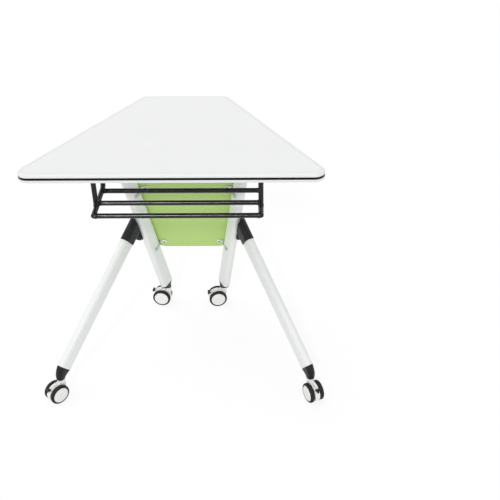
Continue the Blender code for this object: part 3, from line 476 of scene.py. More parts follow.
def pin(centre, axis, radius, reach):
    ease = radius * workshop["pinEase"]
    rim = radius * (1 - workshop["pinEase"])
    profile = [(0, -reach), (rim, -reach), (radius, -reach + ease),
               (radius, reach - ease), (rim, reach), (0, reach)]
    return spunAlong(profile, centre, axis, workshop["pinSteps"])


def nodeSolid(name):
    # a merged copy of a node's own mesh, where it stands
    node = frame["nodes"][name]
    bm = bmesh.new()
    bm.from_mesh(node.data)
    placed(bm, node.matrix_world)
    welded(bm)
    return bm


def holderOf(bm):
    facedOut(bm)
    return meshObject(bm, "holder")


def finished(holders):
    # the first holder as its modifiers leave it; the holders are used up
    result = bmesh.new()
    result.from_object(holders[0], bpy.context.evaluated_depsgraph_get())
    for holder in holders:
        bpy.data.meshes.remove(holder.data)
    return result


def combined(bm, tool, operation):
    holders = [holderOf(bm), holderOf(tool)]
    modifier = holders[0].modifiers.new("combine", "BOOLEAN")
    modifier.operation = operation
    modifier.solver = "EXACT"
    modifier.object = holders[1]
    return finished(holders)


def softened(bm, voxel, passes):
    # one even skin with the edges rounded off, as a mould or a casting leaves them
    holder = holderOf(bm)
    modifier = holder.modifiers.new("skin", "REMESH")
    modifier.mode = "VOXEL"
    modifier.voxel_size = voxel
    result = finished([holder])
    for _ in range(passes):
        bmesh.ops.smooth_vert(result, verts=result.verts, factor=0.5, use_axis_x=True, use_axis_y=True,
                              use_axis_z=True)
    return result


def addPiece(bm, name, body, slotName, nodes=(), sharp=38):
    welded(bm)
    facedOut(bm)
    piece = meshObject(bm, name)
    piece.data.shade_smooth()
    piece.data.set_sharp_from_angle(angle=radians(sharp))
    piece.data.materials.append(finishes[slotName])
    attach(piece, body)
    if nodes:
        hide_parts(*nodes)


def screwHead(name, body, centre, outwards, radius, rise, slotName="zinc_steel"):
    # pan head with a small drive recess, its underside just inside what it holds
    profile = scaled(workshop["panHead"], radius, rise)
    addPiece(spunAlong(profile, centre, outwards, workshop["panHeadSteps"]), name, body, slotName)


# Table top: board, edge band and the bead inlaid in the band

tableTop = {
    "longSide": 0.810,              # to the sharp corners
    "shortSide": 0.250,
    "cornerRadius": 0.029,
    "cornerSteps": 28,
    "bandWidth": 0.014,
    "seam": 0.0003,
    "boardSeam": 0.0001,
    "upperRounding": 0.0075,
    "lowerRounding": 0.003,
    "roundingSteps": 6,
    "beadDepth": 0.0025,
    "beadUpper": -0.0002,           # the soft bead settles a little down its groove
    "beadLower": 0.0006,
    "beadSunk": 0.0002,
    "beadEase": 0.0003,
    "grooveInset": 0.00003,
    "cutDistance": 1e-7,
}


def topPrism(inset, base, height):
    low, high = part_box("edge_band")
    middle = (low.x + high.x) / 2
    slant = atan2(high.y - low.y, (tableTop["longSide"] - tableTop["shortSide"]) / 2)
    frontHalf = tableTop["longSide"] / 2 - inset / tan(slant / 2)
    rearHalf = tableTop["shortSide"] / 2 - inset * tan(slant / 2)
    points = [Vector((middle - frontHalf, low.y + inset, base)),
              Vector((middle + frontHalf, low.y + inset, base)),
              Vector((middle + rearHalf, high.y - inset, base)),
              Vector((middle - rearHalf, high.y - inset, base))]
    return prism(points, tableTop["cornerRadius"] - inset, tableTop["cornerSteps"], height)


def makeTop(values):
    low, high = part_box("edge_band")
    beadLow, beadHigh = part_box("edge_stripe")
    beadLow.z -= values["beadLower"]
    beadHigh.z += values["beadUpper"]
    thickness = high.z - low.z

    bm = topPrism(values["bandWidth"] + values["boardSeam"], low.z, thickness)
    eased(bm, endFaces(bm)[1].edges[:], values["boardSeam"], segments=1)
    addPiece(bm, "topBoard", "top", "laminate_board", ["tabletop_board"])

    bm = topPrism(0.0, low.z, thickness)
    eased(bm, endFaces(bm)[1].edges[:], values["upperRounding"], values["roundingSteps"])
    eased(bm, endFaces(bm)[0].edges[:], values["lowerRounding"], values["roundingSteps"])
    hollowed(bm, [values["bandWidth"] - values[rounding] for rounding in ("lowerRounding", "upperRounding")])
    for height in (beadLow.z - values["seam"], beadHigh.z + values["seam"]):
        bmesh.ops.bisect_plane(bm, geom=bm.verts[:] + bm.edges[:] + bm.faces[:], dist=values["cutDistance"],
                               plane_co=(0, 0, height), plane_no=(0, 0, 1))
    bm.normal_update()
    centre = (low + high) / 2
    groove = []
    for face in bm.faces:
        middle = face.calc_center_median()
        if beadLow.z < middle.z < beadHigh.z and face.normal.dot(middle - centre) > 0:
            groove.append(face)
    bmesh.ops.inset_region(bm, faces=groove, thickness=values["grooveInset"], depth=-values["beadDepth"],
                           use_even_offset=True)
    addPiece(bm, "topBand", "top", "white_edging", ["edge_band"])

    bm = topPrism(values["beadSunk"], beadLow.z, beadHigh.z - beadLow.z)
    hollowed(bm, [values["beadDepth"] - values["seam"] - values["beadSunk"]] * 2)
    eased(bm, sharpEdges(bm), values["beadEase"], segments=3)
    addPiece(bm, "topBead", "top", "black_stripe", ["edge_stripe"])


makeTop(tableTop)
print("top made")


# Legs: flat oval tubes, their foot sockets and the knuckles between them

tube = {
    "wide": 0.050,
    "narrow": 0.025,
    "wall": 0.002,
    "endFlat": 0.0003,              # left between the two arcs of a round end
    "roundSteps": 16,
    "rim": 0.0004,
    "headSpan": 0.181,              # from the middle of the flip axis to a leg head
    "headRise": 0.030,
    "footHeight": 0.070,
    "kneeHeight": 0.421,
    "rearSocket": 0.025,
    "strutRise": 0.014,
    "frontSocket": 0.023,
    "strutClearance": 0.002,
    "strutSetback": 0.020,
}


def legLines(sideName, side):
    rearFoot, frontFoot = (Vector(jointOf[f"swivel_{end}_{sideName}"]["pos_m"]) for end in ("rear", "front"))
    floor = rearFoot.z
    rearFoot.z += tube["footHeight"]
    frontFoot.z += tube["footHeight"]
    head = flipAxis + Vector((side * tube["headSpan"], 0, 0))
    up = (head - rearFoot).normalized()
    knee = rearFoot + up * ((floor + tube["kneeHeight"] - rearFoot.z) / up.z)
    strutEnd = frontFoot + Vector((0, 0, tube["strutRise"]))
    strut = (strutEnd - knee).normalized()
    normal = up.cross(strut).normalized()
    rearWide = (strut - up * strut.dot(up)).normalized()
    strutWide = (up - strut * up.dot(strut)).normalized()
    slope = strutWide.dot(rearWide)
    along = (tube["wide"] / 2 * (1 + slope) + tube["strutClearance"]) / strut.dot(rearWide)
    return {
        "side": side, "rearFoot": rearFoot, "frontFoot": frontFoot, "head": head, "up": up, "knee": knee,
        "strut": strut, "normal": normal, "outwards": normal * side, "rearWide": rearWide,
        "strutWide": strutWide, "strutHead": knee + strut * (along + tube["strutSetback"]),
        "rearEnd": rearFoot + up * tube["rearSocket"], "frontEnd": strutEnd - strut * tube["frontSocket"],
    }


def legPlace(lines, origin):
    return basis(origin, lines["rearWide"], lines["up"].cross(lines["rearWide"]), lines["up"])


def ovalPrism(length, growth=0.0):
    halfWide, halfNarrow = tube["wide"] / 2 + growth, tube["narrow"] / 2 + growth
    return prism(rectangle(halfWide, halfNarrow), halfNarrow - tube["endFlat"], tube["roundSteps"], length)


def makeTubes(lines, sideName):
    start = lines["rearEnd"]
    length = (lines["head"] + lines["up"] * tube["headRise"] - start).length
    bm = ovalPrism(length)
    low = endFaces(bm)[:1]
    bmesh.ops.inset_region(bm, faces=low, thickness=tube["wall"], use_even_offset=True)
    extruded(bm, low, (0, 0, length - tube["wall"]))
    bmesh.ops.delete(bm, geom=low, context="FACES_ONLY")
    eased(bm, sharpEdges(bm), tube["rim"], segments=2)
    placed(bm, legPlace(lines, start))
    addPiece(bm, "rearTube." + sideName, "base", "white_paint", ["rear_leg_" + sideName])

    bm = ovalPrism((lines["frontEnd"] - lines["strutHead"]).length)
    hollowed(bm, [tube["wall"]] * 2)
    eased(bm, sharpEdges(bm), tube["rim"], segments=2)
    across = lines["strut"].cross(lines["strutWide"])
    placed(bm, basis(lines["strutHead"], lines["strutWide"], across, lines["strut"]))
    addPiece(bm, "frontTube." + sideName, "base", "white_paint", ["front_leg_" + sideName])


socket = {
    "baseRadius": 0.012,
    "bulge": 0.004,
    "sections": 10,
    "segments": 48,
    "boreRadius": 0.0053,
    "boreDepth": 0.0123,
    "seam": 0.0003,
    "plugLength": 0.024,
    "lip": 0.0006,
}


def nextLoop(bm, edges, old, new):
    # extrudes a loop to its next place, where it may be larger or pulled out to another oval
    made = bmesh.ops.extrude_edge_only(bm, edges=edges)["geom"]
    verts = only(BMVert, made)
    bmesh.ops.transform(bm, matrix=old["place"].inverted(), verts=verts)
    halves = [(side, [vert for vert in verts if vert.co.x * side > 0]) for side in (-1, 1)]
    for side, half in halves:
        bmesh.ops.translate(bm, verts=half, vec=(-side * old["straight"], 0, 0))
    bmesh.ops.scale(bm, verts=verts, vec=Vector((1, 1, 1)) * (new["radius"] / old["radius"]))
    for side, half in halves:
        bmesh.ops.translate(bm, verts=half, vec=(side * new["straight"], 0, 0))
    bmesh.ops.transform(bm, matrix=new["place"], verts=verts)
    return only(BMEdge, made)


def socketSections(foot, tubeEnd, along, wide, normal):
    # from the bottom of the bore for the stem, round the outside and up to the end of the plug in the tube
    level = [Vector((axis.x, axis.y, 0)).normalized() for axis in (wide, normal)]
    seam = tubeEnd - along * socket["seam"]
    straight = (tube["wide"] - tube["narrow"]) / 2
    inside = tube["narrow"] / 2 - tube["wall"] - socket["seam"]
    sections = []
    for centre in (foot + Vector((0, 0, socket["boreDepth"])), foot):
        place = basis(centre, level[0], level[1], level[0].cross(level[1]))
        sections.append({"place": place, "radius": socket["boreRadius"], "straight": 0.0})
    for step in range(socket["sections"] + 1):
        share = step / socket["sections"]
        bulge = level[0] * (socket["bulge"] * 4 * share * (1 - share))
        wideAxis = level[0].lerp(wide, share).normalized()
        thin = level[1].lerp(normal, share)
        thin = (thin - wideAxis * thin.dot(wideAxis)).normalized()
        place = basis(foot.lerp(seam, share) + bulge, wideAxis, thin, wideAxis.cross(thin))
        radius = socket["baseRadius"] + (tube["narrow"] / 2 - socket["baseRadius"]) * share
        sections.append({"place": place, "radius": radius, "straight": straight * share})
    for centre in (seam, seam + along * socket["plugLength"]):
        place = basis(centre, wide, normal, wide.cross(normal))
        sections.append({"place": place, "radius": inside, "straight": straight})
    return sections


def makeSocket(sections, name):
    bm = bmesh.new()
    bmesh.ops.create_circle(bm, cap_ends=True, radius=socket["boreRadius"], segments=socket["segments"])
    turn = Matrix.Rotation(pi / socket["segments"], 3, "Z")
    bmesh.ops.rotate(bm, verts=bm.verts, cent=(0, 0, 0), matrix=turn)
    placed(bm, sections[0]["place"])
    edges = bm.edges[:]
    for old, new in zip(sections, sections[1:]):
        edges = nextLoop(bm, edges, old, new)
    closed(bm, edges)
    eased(bm, sharpEdges(bm), socket["lip"], segments=3)
    addPiece(bm, "socket." + name, "base", "black_plastic", ["foot_socket_" + name])


knuckle = {
    "voxel": 0.0009,
    "passes": 5,
    "screwRadius": 0.0055,
    "screwRise": 0.0022,
    "screwHead": (
        # shares of the screw's radius and rise, from the drive recess to the underside
        (0, 0.35), (0.36, 0.35), (0.42, 1), (0.7, 0.92), (1, 0.3), (1, -1), (0, -1),
    ),
    "screwSteps": 40,
    "screwDrop": 0.030,             # below the point where the axes of the two tubes meet
    "faceOffset": 0.0160,           # outer face of the saddle from the leg's axis
    "ribs": (
        # in front of the leg's axis, then from and to below the point where the axes meet
        (0.0302, 0.034, 0.0870),
        (0.0378, 0.050, 0.0825),
    ),
    "ribWidth": 0.0046,
    "ribEase": 0.42,                # share of the width
    "ribRise": 0.0036,              # from the plane of both axes towards the middle of the table
    "ribRoot": 0.0040,
}


def makeKnuckle(lines, sideName):
    node = "leg_knuckle_" + sideName
    bm = softened(nodeSolid(node), knuckle["voxel"], knuckle["passes"])
    addPiece(bm, "knuckle." + sideName, "base", "black_plastic", [node], sharp=60)
    outwards, rearWide = lines["outwards"], lines["rearWide"]
    profile = scaled(knuckle["screwHead"], knuckle["screwRadius"], knuckle["screwRise"])
    bm = spun(profile, knuckle["screwSteps"])
    centre = lines["knee"] - lines["up"] * knuckle["screwDrop"] + outwards * knuckle["faceOffset"]
    placed(bm, basis(centre, rearWide, outwards.cross(rearWide), outwards))
    addPiece(bm, "knuckleScrew." + sideName, "base", "zinc_steel")
    for number, (offset, start, stop) in enumerate(knuckle["ribs"]):
        bm = block((knuckle["ribWidth"], knuckle["ribRise"] + knuckle["ribRoot"], stop - start))
        eased(bm, bm.edges[:], knuckle["ribWidth"] * knuckle["ribEase"], segments=5)
        middle = lines["knee"] + rearWide * offset - lines["up"] * ((start + stop) / 2)
        middle -= outwards * ((knuckle["ribRise"] - knuckle["ribRoot"]) / 2)
        placed(bm, legPlace(lines, middle))
        addPiece(bm, f"knuckleRib.{sideName}.{number}", "base", "black_plastic")


for sideName, side in sides:
    lines = legLines(sideName, side)
    makeTubes(lines, sideName)
    up, strut, normal = lines["up"], lines["strut"], lines["normal"]
    rearSections = socketSections(lines["rearFoot"], lines["rearEnd"], up, lines["rearWide"], normal)
    frontSections = socketSections(lines["frontFoot"], lines["frontEnd"], -strut, lines["strutWide"], normal)
    makeSocket(rearSections, "rear_" + sideName)
    makeSocket(frontSections, "front_" + sideName)
    makeKnuckle(lines, sideName)
print("legs made")


# Book basket: two end rods bent up at the back, front posts, and rails welded between the rods

basket = {
    "halfWidth": 0.2235,
    "frontReach": 0.196,            # in front of the flip axis
    "postInset": 0.045,             # front posts behind the front rail
    "rearReach": 0.0397,
    "floorDrop": 0.092,             # below the flip axis
    "seam": 0.0003,
    "rodRadius": 0.0072,            # rods and rails are a little thicker than the solids, because thin
    "railRadius": 0.0070,           # dark lines on white look thinner in a render
    "railPitch": 0.066,
    "railCount": 3,
    "segments": 28,
    "rearBend": 0.0120,
    "bendSteps": 10,
    "endEase": 0.0030,
    "weldRadius": 0.0080,
    "weldLength": 0.0060,
    "weldShares": (0.35, 0.7, 1.0),                # along the weld, which flares towards the rod
    "postWeld": 0.0010,
    "footSize": (0.034, 0.020, 0.0025),
    "footCorner": 0.004,
    "footScrew": 0.011,             # from the post to a screw
    "screwRadius": 0.0036,
    "screwRise": 0.0022,
}


def endRod(values, side, floor, top):
    # straight back from the front rail, then bent up to the board
    front, rear = -values["frontReach"] - values["railRadius"] / 2, -values["rearReach"]
    bend = values["rearBend"]
    bm = bmesh.new()
    bmesh.ops.create_circle(bm, cap_ends=True, radius=values["rodRadius"], segments=values["segments"],
                            matrix=Matrix.Translation((0, front, 0)) @ Matrix.Rotation(pi / 2, 4, "X"))
    edges = drawn(bm, bm.edges[:], (0, rear - bend - front, 0))
    edges = bent(bm, edges, (0, rear - bend, bend), (1, 0, 0), pi / 2, values["bendSteps"])
    closed(bm, drawn(bm, edges, (0, 0, top - bend)))
    tip = [edge for edge in sharpEdges(bm) if edge.verts[0].co.y < front + values["seam"]]
    eased(bm, tip, values["endEase"], segments=5)
    return moved(bm, floor + Vector((side * values["halfWidth"], 0, 0)))


def frontPost(values, side, floor, top):
    radius, weld, foot = values["railRadius"], values["postWeld"], values["rodRadius"]
    bm = spun([(0, 0), (radius + weld, 0), (radius + weld, foot), (radius + weld / 3, foot + weld),
               (radius, foot + 3 * weld), (radius, top), (0, top)], values["segments"])
    shift = Vector((side * values["halfWidth"], values["postInset"] - values["frontReach"], 0))
    return moved(bm, floor + shift)


def rail(values, y, floor):
    weldStart = values["halfWidth"] - values["rodRadius"] - values["weldLength"]
    end = values["halfWidth"] - values["rodRadius"] / 3
    flare = [(values["railRadius"], weldStart)]
    for share in values["weldShares"]:
        growth = (values["weldRadius"] - values["railRadius"]) * share ** 2
        flare.append((values["railRadius"] + growth, weldStart + values["weldLength"] * share))
    half = flare + [(values["weldRadius"], end), (0, end)]
    bm = spun([(radius, -height) for radius, height in reversed(half)] + half, values["segments"])
    return placed(bm, basis(floor + Vector((0, y, 0)), upright, Vector((0, -1, 0)), sideways))


def makeFoot(values, post, name):
    # pad between a post and the board, with a screw on each side of the post
    width, depth, thick = values["footSize"]
    base = post + downwards * thick
    bm = prism(rectangle(width / 2, depth / 2), values["footCorner"], steps=6, height=thick)
    eased(bm, sharpEdges(bm), thick / 6, segments=2)
    addPiece(moved(bm, base), "basketFoot." + name, "top", "black_paint")
    for letter, turn in (("a", -1), ("b", 1)):
        centre = base + Vector((turn * values["footScrew"], 0, 0))
        screwHead(f"basketScrew.{name}.{letter}", "top", centre, downwards, values["screwRadius"],
                  values["screwRise"])


def makeBasket(values):
    floor = flipAxis - Vector((0, 0, values["floorDrop"]))
    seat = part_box("edge_band")[0].z - values["seam"]
    top = seat - floor.z
    whole = endRod(values, -1, floor, top)
    for number in range(values["railCount"]):
        y = number * values["railPitch"] - values["frontReach"]
        whole = combined(whole, rail(values, y, floor), "UNION")
    whole = combined(whole, endRod(values, 1, floor, top), "UNION")
    for side in (-1, 1):
        whole = combined(whole, frontPost(values, side, floor, top), "UNION")
    addPiece(whole, "basketWire", "top", "black_paint", ["book_basket"], sharp=50)
    reaches = {"front": values["frontReach"] - values["postInset"], "rear": values["rearReach"]}
    for sideName, side in sides:
        for endName, reach in reaches.items():
            post = Vector((floor.x + side * values["halfWidth"], flipAxis.y - reach, seat))
            makeFoot(values, post, endName + "_" + sideName)


makeBasket(basket)
print("basket made")


# Privacy panel and the clips that hold it to the rear legs

panel = {
    "drop": 0.124,                  # along the legs, from the flip axis
    "length": 0.320,
    "thickness": 0.012,
    "edgeInset": 0.008,
    "cornerRadius": 0.032,
    "cornerSteps": 16,
    "ease": 0.0022,
    "easeSteps": 4,
    "seam": 0.0003,
}

clip = {
    "thickness": 0.0018,
    "height": 0.0100,               # the solid is 14 mm wide, as wide as its cap
    "upperInset": 0.050,
    "lowerInset": 0.024,
    "reach": 0.006,
    "screwOffset": 0.035,
    "capRadius": 0.0070,
    "capRise": 0.0036,
    "capFace": (
        # shares of the cap's radius and rise, from its recess to its rim
        (0, 0.7), (0.46, 0.7), (0.51, 0.96), (0.74, 1), (0.92, 0.7), (1, 0.15),
    ),
    "capSteps": 40,
    "capRecess": 0.7,               # share of the rise where the screw sits
    "screwRadius": 0.45,            # this and the next are shares of the cap's radius and rise
    "screwRise": 0.28,
    "margin": -0.0012,
    "bendRadius": 0.0030,
    "endRadius": 0.0046,
    "boltRadius": 0.0046,
    "boltRise": 0.0030,
}


def makePanel(values, lines):
    up = lines["up"]
    down = Vector((0, -up.y, -up.z)).normalized()
    outwards = Vector((0, -down.z, down.y))
    drift = up.x / sqrt(up.y ** 2 + up.z ** 2)
    straight = (tube["wide"] - tube["narrow"]) / 2
    clipBase = straight * abs(lines["rearWide"].dot(outwards)) + tube["narrow"] / 2 + values["seam"]
    outerFace = clipBase + clip["thickness"] + values["seam"] + values["thickness"]
    ends = (values["drop"], values["drop"] + values["length"])
    topX, baseX = (tube["headSpan"] - drift * drop - values["edgeInset"] for drop in ends)
    outline = ((-baseX, ends[1]), (baseX, ends[1]), (topX, ends[0]), (-topX, ends[0]))
    points = [Vector((x, -drop, 0)) for x, drop in outline]
    bm = prism(points, values["cornerRadius"], values["cornerSteps"], values["thickness"])
    eased(bm, sharpEdges(bm), values["ease"], values["easeSteps"])
    placed(bm, basis(flipAxis + outwards * outerFace, sideways, -down, -outwards))
    addPiece(bm, "panelBoard", "base", "green_panel", ["modesty_panel"])
    drops = {"upper": ends[0] + clip["upperInset"], "lower": ends[1] - clip["lowerInset"]}
    for sideName, side in sides:
        for endName, drop in drops.items():
            centre = flipAxis + Vector((side * (tube["headSpan"] - drift * drop), 0, 0)) + down * drop
            makeClip(legLines(sideName, side), centre, outwards, clipBase, endName + "_" + sideName)


def makeClip(lines, centre, outwards, base, name):
    up, wide = lines["up"], lines["rearWide"]
    across = up.cross(outwards) * lines["side"]
    inwards = -lines["outwards"]
    thickness = clip["thickness"]
    near = tube["narrow"] / 2 + panel["seam"]
    far = near + thickness
    bend = (tube["wide"] - tube["narrow"]) / 2 * abs(wide.dot(across)) + near
    strapEnd = clip["screwOffset"] + clip["capRadius"] + clip["margin"]

    def strapPoint(x, offset):
        return centre + across * x + outwards * offset

    def flangePoint(distance, along):
        return centre + inwards * distance + wide * along

    def bendPoint(distance, x):
        return flangePoint(distance, (x - distance * inwards.dot(across)) / wide.dot(across))

    bends = [bendPoint(near, bend), strapPoint(bend, base + thickness),
             strapPoint(bend + thickness, base), bendPoint(far, bend + thickness)]
    tips = [strapPoint(strapEnd, base + thickness), strapPoint(strapEnd, base)]
    flange = [flangePoint(near, clip["reach"]), flangePoint(far, clip["reach"])]
    outline = flange[:1] + bends[:2] + tips + bends[2:] + flange[1:]
    half = up * (clip["height"] / 2)
    bm = bmesh.new()
    face = bm.faces.new([bm.verts.new(point - half) for point in outline])
    extruded(bm, [face], 2 * half)
    eased(bm, edgesAt(bm, bends), clip["bendRadius"], segments=4)
    tip = (tips[0] + tips[1]) / 2
    eased(bm, edgesAt(bm, [tip - half, tip + half]), clip["endRadius"], segments=6)
    addPiece(bm, "clipStrap." + name, "base", "zinc_steel", ["panel_clip_" + name])

    radius, rise = clip["capRadius"], clip["capRise"]
    rim = [(radius, -panel["seam"]), (0, -panel["seam"])]
    bm = spun(scaled(clip["capFace"], radius, rise) + rim, clip["capSteps"])
    placed(bm, basis(strapPoint(clip["screwOffset"], base), across, up * -lines["side"], -outwards))
    addPiece(bm, "clipCap." + name, "base", "ivory_nylon")
    screwCentre = strapPoint(clip["screwOffset"], base - rise * clip["capRecess"])
    screwHead("clipScrew." + name, "base", screwCentre, -outwards, radius * clip["screwRadius"],
              rise * clip["screwRise"], "black_plastic")

    bm = bmesh.new()
    bmesh.ops.create_cone(bm, cap_ends=True, segments=6, radius1=clip["boltRadius"],
                          radius2=clip["boltRadius"], depth=clip["boltRise"])
    moved(bm, (0, 0, clip["boltRise"] / 2))
    eased(bm, sharpEdges(bm, 80), clip["boltRise"] / 8, segments=2)
    placed(bm, basis(flangePoint(far, 0), up, inwards.cross(up), inwards))
    addPiece(bm, "clipBolt." + name, "base", "zinc_steel")


makePanel(panel, legLines("right", 1))
print("panel and clips made")


# Casters: stem, hood, axle, two hubs with tyres, and the brake pedal

caster = {
    "wheelRadius": 0.030,
    "wheelWidth": 0.0135,
    "wheelSpace": 0.0175,
    "tyreThickness": 0.0060,
    "shoulder": 0.0032,
    "shoulderEase": 0.0014,
    "hubRadius": 0.0237,
    "hubFace": (
        # share of the hub's radius, and seams out from the wheel's face: a shallow centre cap, a slight dome,
        # a ring line and the rim
        (0, 3), (0.20, 2.8), (0.22, 1.8), (0.25, 1.8), (0.27, 2.7), (0.55, 2), (0.80, 1), (0.82, -1.6),
        (0.87, -1.6), (0.89, 0.6), (0.955, 0), (1, -4),
    ),
    "axleRadius": 0.003,
    "trail": 0.021,
    "steps": 96,
    "seam": 0.0003,
    "hoodVoxel": 0.0006,
    "hoodPasses": 5,
    "stemRadius": 0.005,
    "brakeInner": 0.0320,
    "brakeOuter": 0.0338,
    "brakeWidth": 0.006,
    "brakeSteps": 24,
    "brakeEye": 0.0036,
    "brakePin": 0.002,
    "brakePinReach": 0.006,
    "tabAngle": {"front": 49.0, "rear": 38.0},     # the rear tabs hang lower
    "pivotAngle": 92.0,
    "tabWidth": 0.0135,
    "tabHeight": 0.0085,
    "tabDeep": 0.0050,
    "ribLength": 0.0085,
    "ribLean": 0.22,                # share of the tab's height
    "ribTip": (0.35, 0.30, 1),      # share of the rib's root
}


def wheelPiece(bm, place, name, corner, letter, slotName):
    whole = corner + "_" + letter
    node = f"wheel_{name}_{whole}"
    addPiece(placed(bm, place), f"{name}.{corner}.{letter}", "wheel_" + whole, slotName, [node])


def makeWheel(values, place, corner, letter):
    inner = values["wheelSpace"] / 2
    outer = inner + values["wheelWidth"]
    radius, shoulder = values["wheelRadius"], values["shoulder"]
    bore, face = radius - values["tyreThickness"], radius - shoulder
    section = [(bore, inner), (face, inner), (radius, inner + shoulder), (radius, outer - shoulder),
               (face, outer), (bore, outer), (bore, inner)]
    bm = spun(section, values["steps"])
    eased(bm, sharpEdges(bm, 30), values["shoulderEase"], segments=4)
    wheelPiece(bm, place, "tyre", corner, letter, "black_tyre")

    hub, step = values["hubRadius"], values["seam"]
    axle, middle = values["axleRadius"] + step, inner + values["wheelWidth"] / 2
    section = [(hub * share, outer + seams * step) for share, seams in values["hubFace"]]
    section += [(hub, inner + step), (axle, inner + step), (axle, middle), (0, middle)]
    wheelPiece(spun(section, values["steps"]), place, "hub", corner, letter, "ivory_nylon")


def polar(values, degrees, radius, y=0.0):
    # a point round the axle, in the caster's own frame with the stem at its origin
    angle = radians(degrees)
    return Vector((values["trail"] + radius * cos(angle), y, values["wheelRadius"] + radius * sin(angle)))


def makeBrake(values, place, corner):
    tabAngle = values["tabAngle"][corner.split("_")[0]]
    half = values["brakeWidth"] / 2 - values["seam"]
    inner, outer = values["brakeInner"], values["brakeOuter"]
    bm = bmesh.new()
    ring = [bm.verts.new(polar(values, tabAngle, radius, y))
            for radius, y in ((inner, -half), (outer, -half), (outer, half), (inner, half))]
    start = bm.faces.new(ring)
    turn = radians(values["pivotAngle"] - tabAngle)
    closed(bm, bent(bm, start.edges[:], polar(values, 0, 0), (0, -1, 0), turn, values["brakeSteps"]))
    eased(bm, sharpEdges(bm), values["seam"], segments=2)
    pivot = polar(values, values["pivotAngle"], outer - values["brakeEye"])
    side = Vector((0, 1, 0))
    bm = combined(bm, pin(pivot, side, values["brakeEye"], values["brakeWidth"] / 2), "UNION")
    bm = combined(bm, pin(pivot, side, values["brakePin"], values["brakePinReach"]), "UNION")
    addPiece(placed(bm, place), "brakeArm." + corner, "brake_" + corner, "ivory_nylon")

    # foot tab: a wide bar with a tapering rib below it, in axes radial, sideways and down the hood
    bm = block((values["tabHeight"], values["tabWidth"], values["tabDeep"]))
    below = [max(bm.faces, key=lambda face: face.normal.z)]
    bmesh.ops.inset_region(bm, faces=below, thickness=values["tabDeep"] / 4, use_even_offset=True)
    rib = extruded(bm, below, (-values["tabHeight"] * values["ribLean"], 0, values["ribLength"]))
    bmesh.ops.delete(bm, geom=below, context="FACES_ONLY")
    tip = [vert for face in rib for vert in face.verts]
    middle = sum((vert.co for vert in tip), Vector()) / len(tip)
    bmesh.ops.scale(bm, verts=tip, vec=values["ribTip"], space=Matrix.Translation(-middle))
    facedOut(bm)
    eased(bm, sharpEdges(bm, 20), values["tabDeep"] / 6, segments=3)
    angle = radians(tabAngle)
    outward = Vector((cos(angle), 0, sin(angle)))
    downward = outward.cross(side)
    if downward.z > 0:
        downward.negate()
    centre = polar(values, tabAngle, inner + values["tabHeight"] / 2)
    placed(bm, place @ basis(centre, outward, downward.cross(outward), downward))
    addPiece(bm, "brakeTab." + corner, "brake_" + corner, "black_plastic", ["caster_brake_" + corner])


def makeCaster(values, corner):
    wheel = jointOf[f"wheel_{corner}_a"]
    swivel, axle = Vector(jointOf["swivel_" + corner]["pos_m"]), Vector(wheel["pos_m"])
    side = Vector(wheel["axis"]).normalized()
    body = "caster_" + corner
    for letter, sign in (("a", 1), ("b", -1)):
        outward = side * sign
        makeWheel(values, basis(axle, upright, outward.cross(upright), outward), corner, letter)
    bm = softened(nodeSolid("caster_hood_" + corner), values["hoodVoxel"], values["hoodPasses"])
    addPiece(bm, "hood." + corner, body, "ivory_nylon", ["caster_hood_" + corner], sharp=60)
    reach = values["wheelSpace"] / 2 + values["wheelWidth"] / 2 - values["seam"]
    bm = pin(axle, side, values["axleRadius"], reach)
    addPiece(bm, "axle." + corner, body, "bright_steel", ["caster_axle_" + corner])
    low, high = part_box("caster_stem_" + corner)
    middle = Vector((swivel.x, swivel.y, (low.z + high.z) / 2))
    bm = pin(middle, upright, values["stemRadius"], (high.z - low.z) / 2)
    addPiece(bm, "stem." + corner, body, "bright_steel", ["caster_stem_" + corner])
    makeBrake(values, basis(swivel, side.cross(upright), side, upright), corner)


for corner in corners:
    makeCaster(caster, corner)
print("casters made")


# Flip gear under the board: beam, caps, arms and latch

flipGear = {
    "steps": 96,
    "seam": 0.0003,
    "beamRadius": 0.020,
    "capRadius": 0.028,
    "capReach": 0.057,
    "capRounding": 0.006,
    "capSteps": 6,
    "capRing": 0.0012,              # depth of the ring moulded into the cap's face
    "ringShares": (0.62, 0.59, 0.53, 0.50),        # of the cap's radius, down into the ring and out again
    "armOffset": 0.124,
    "armFront": 0.186,
    "armRear": 0.100,
    "flangeWidth": 0.040,
    "flangeThickness": 0.004,
    "flangeCorner": 0.008,
    "webThickness": 0.008,
    "webDepth": 0.022,
    "lugThickness": 0.012,
    "lugWall": 0.008,
    "runningGap": 0.0004,
    "armVoxel": 0.0010,
    "armPasses": 3,
    "armScrewRadius": 0.0050,
    "armScrewRise": 0.0026,
    "armScrewOffset": 0.0125,
    "armScrewMargin": 0.022,
    "plateRadius": 0.032,
    "plateThickness": 0.006,
    "notchDepth": 0.0095,
    "notchBelow": 0.004,            # from the flip axis
    "notchAbove": 0.0175,
    "latchVoxel": 0.0006,
    "latchPasses": 4,
    "bracketThickness": 0.003,
    "bracketScrewInset": 0.0064,
    "bracketScrewRadius": 0.0040,
    "bracketScrewRise": 0.00208,
}


def legSolid(lines, growth):
    length = (lines["head"] - lines["rearFoot"]).length + 2 * tube["headRise"]
    return placed(ovalPrism(length, growth), legPlace(lines, lines["rearFoot"]))


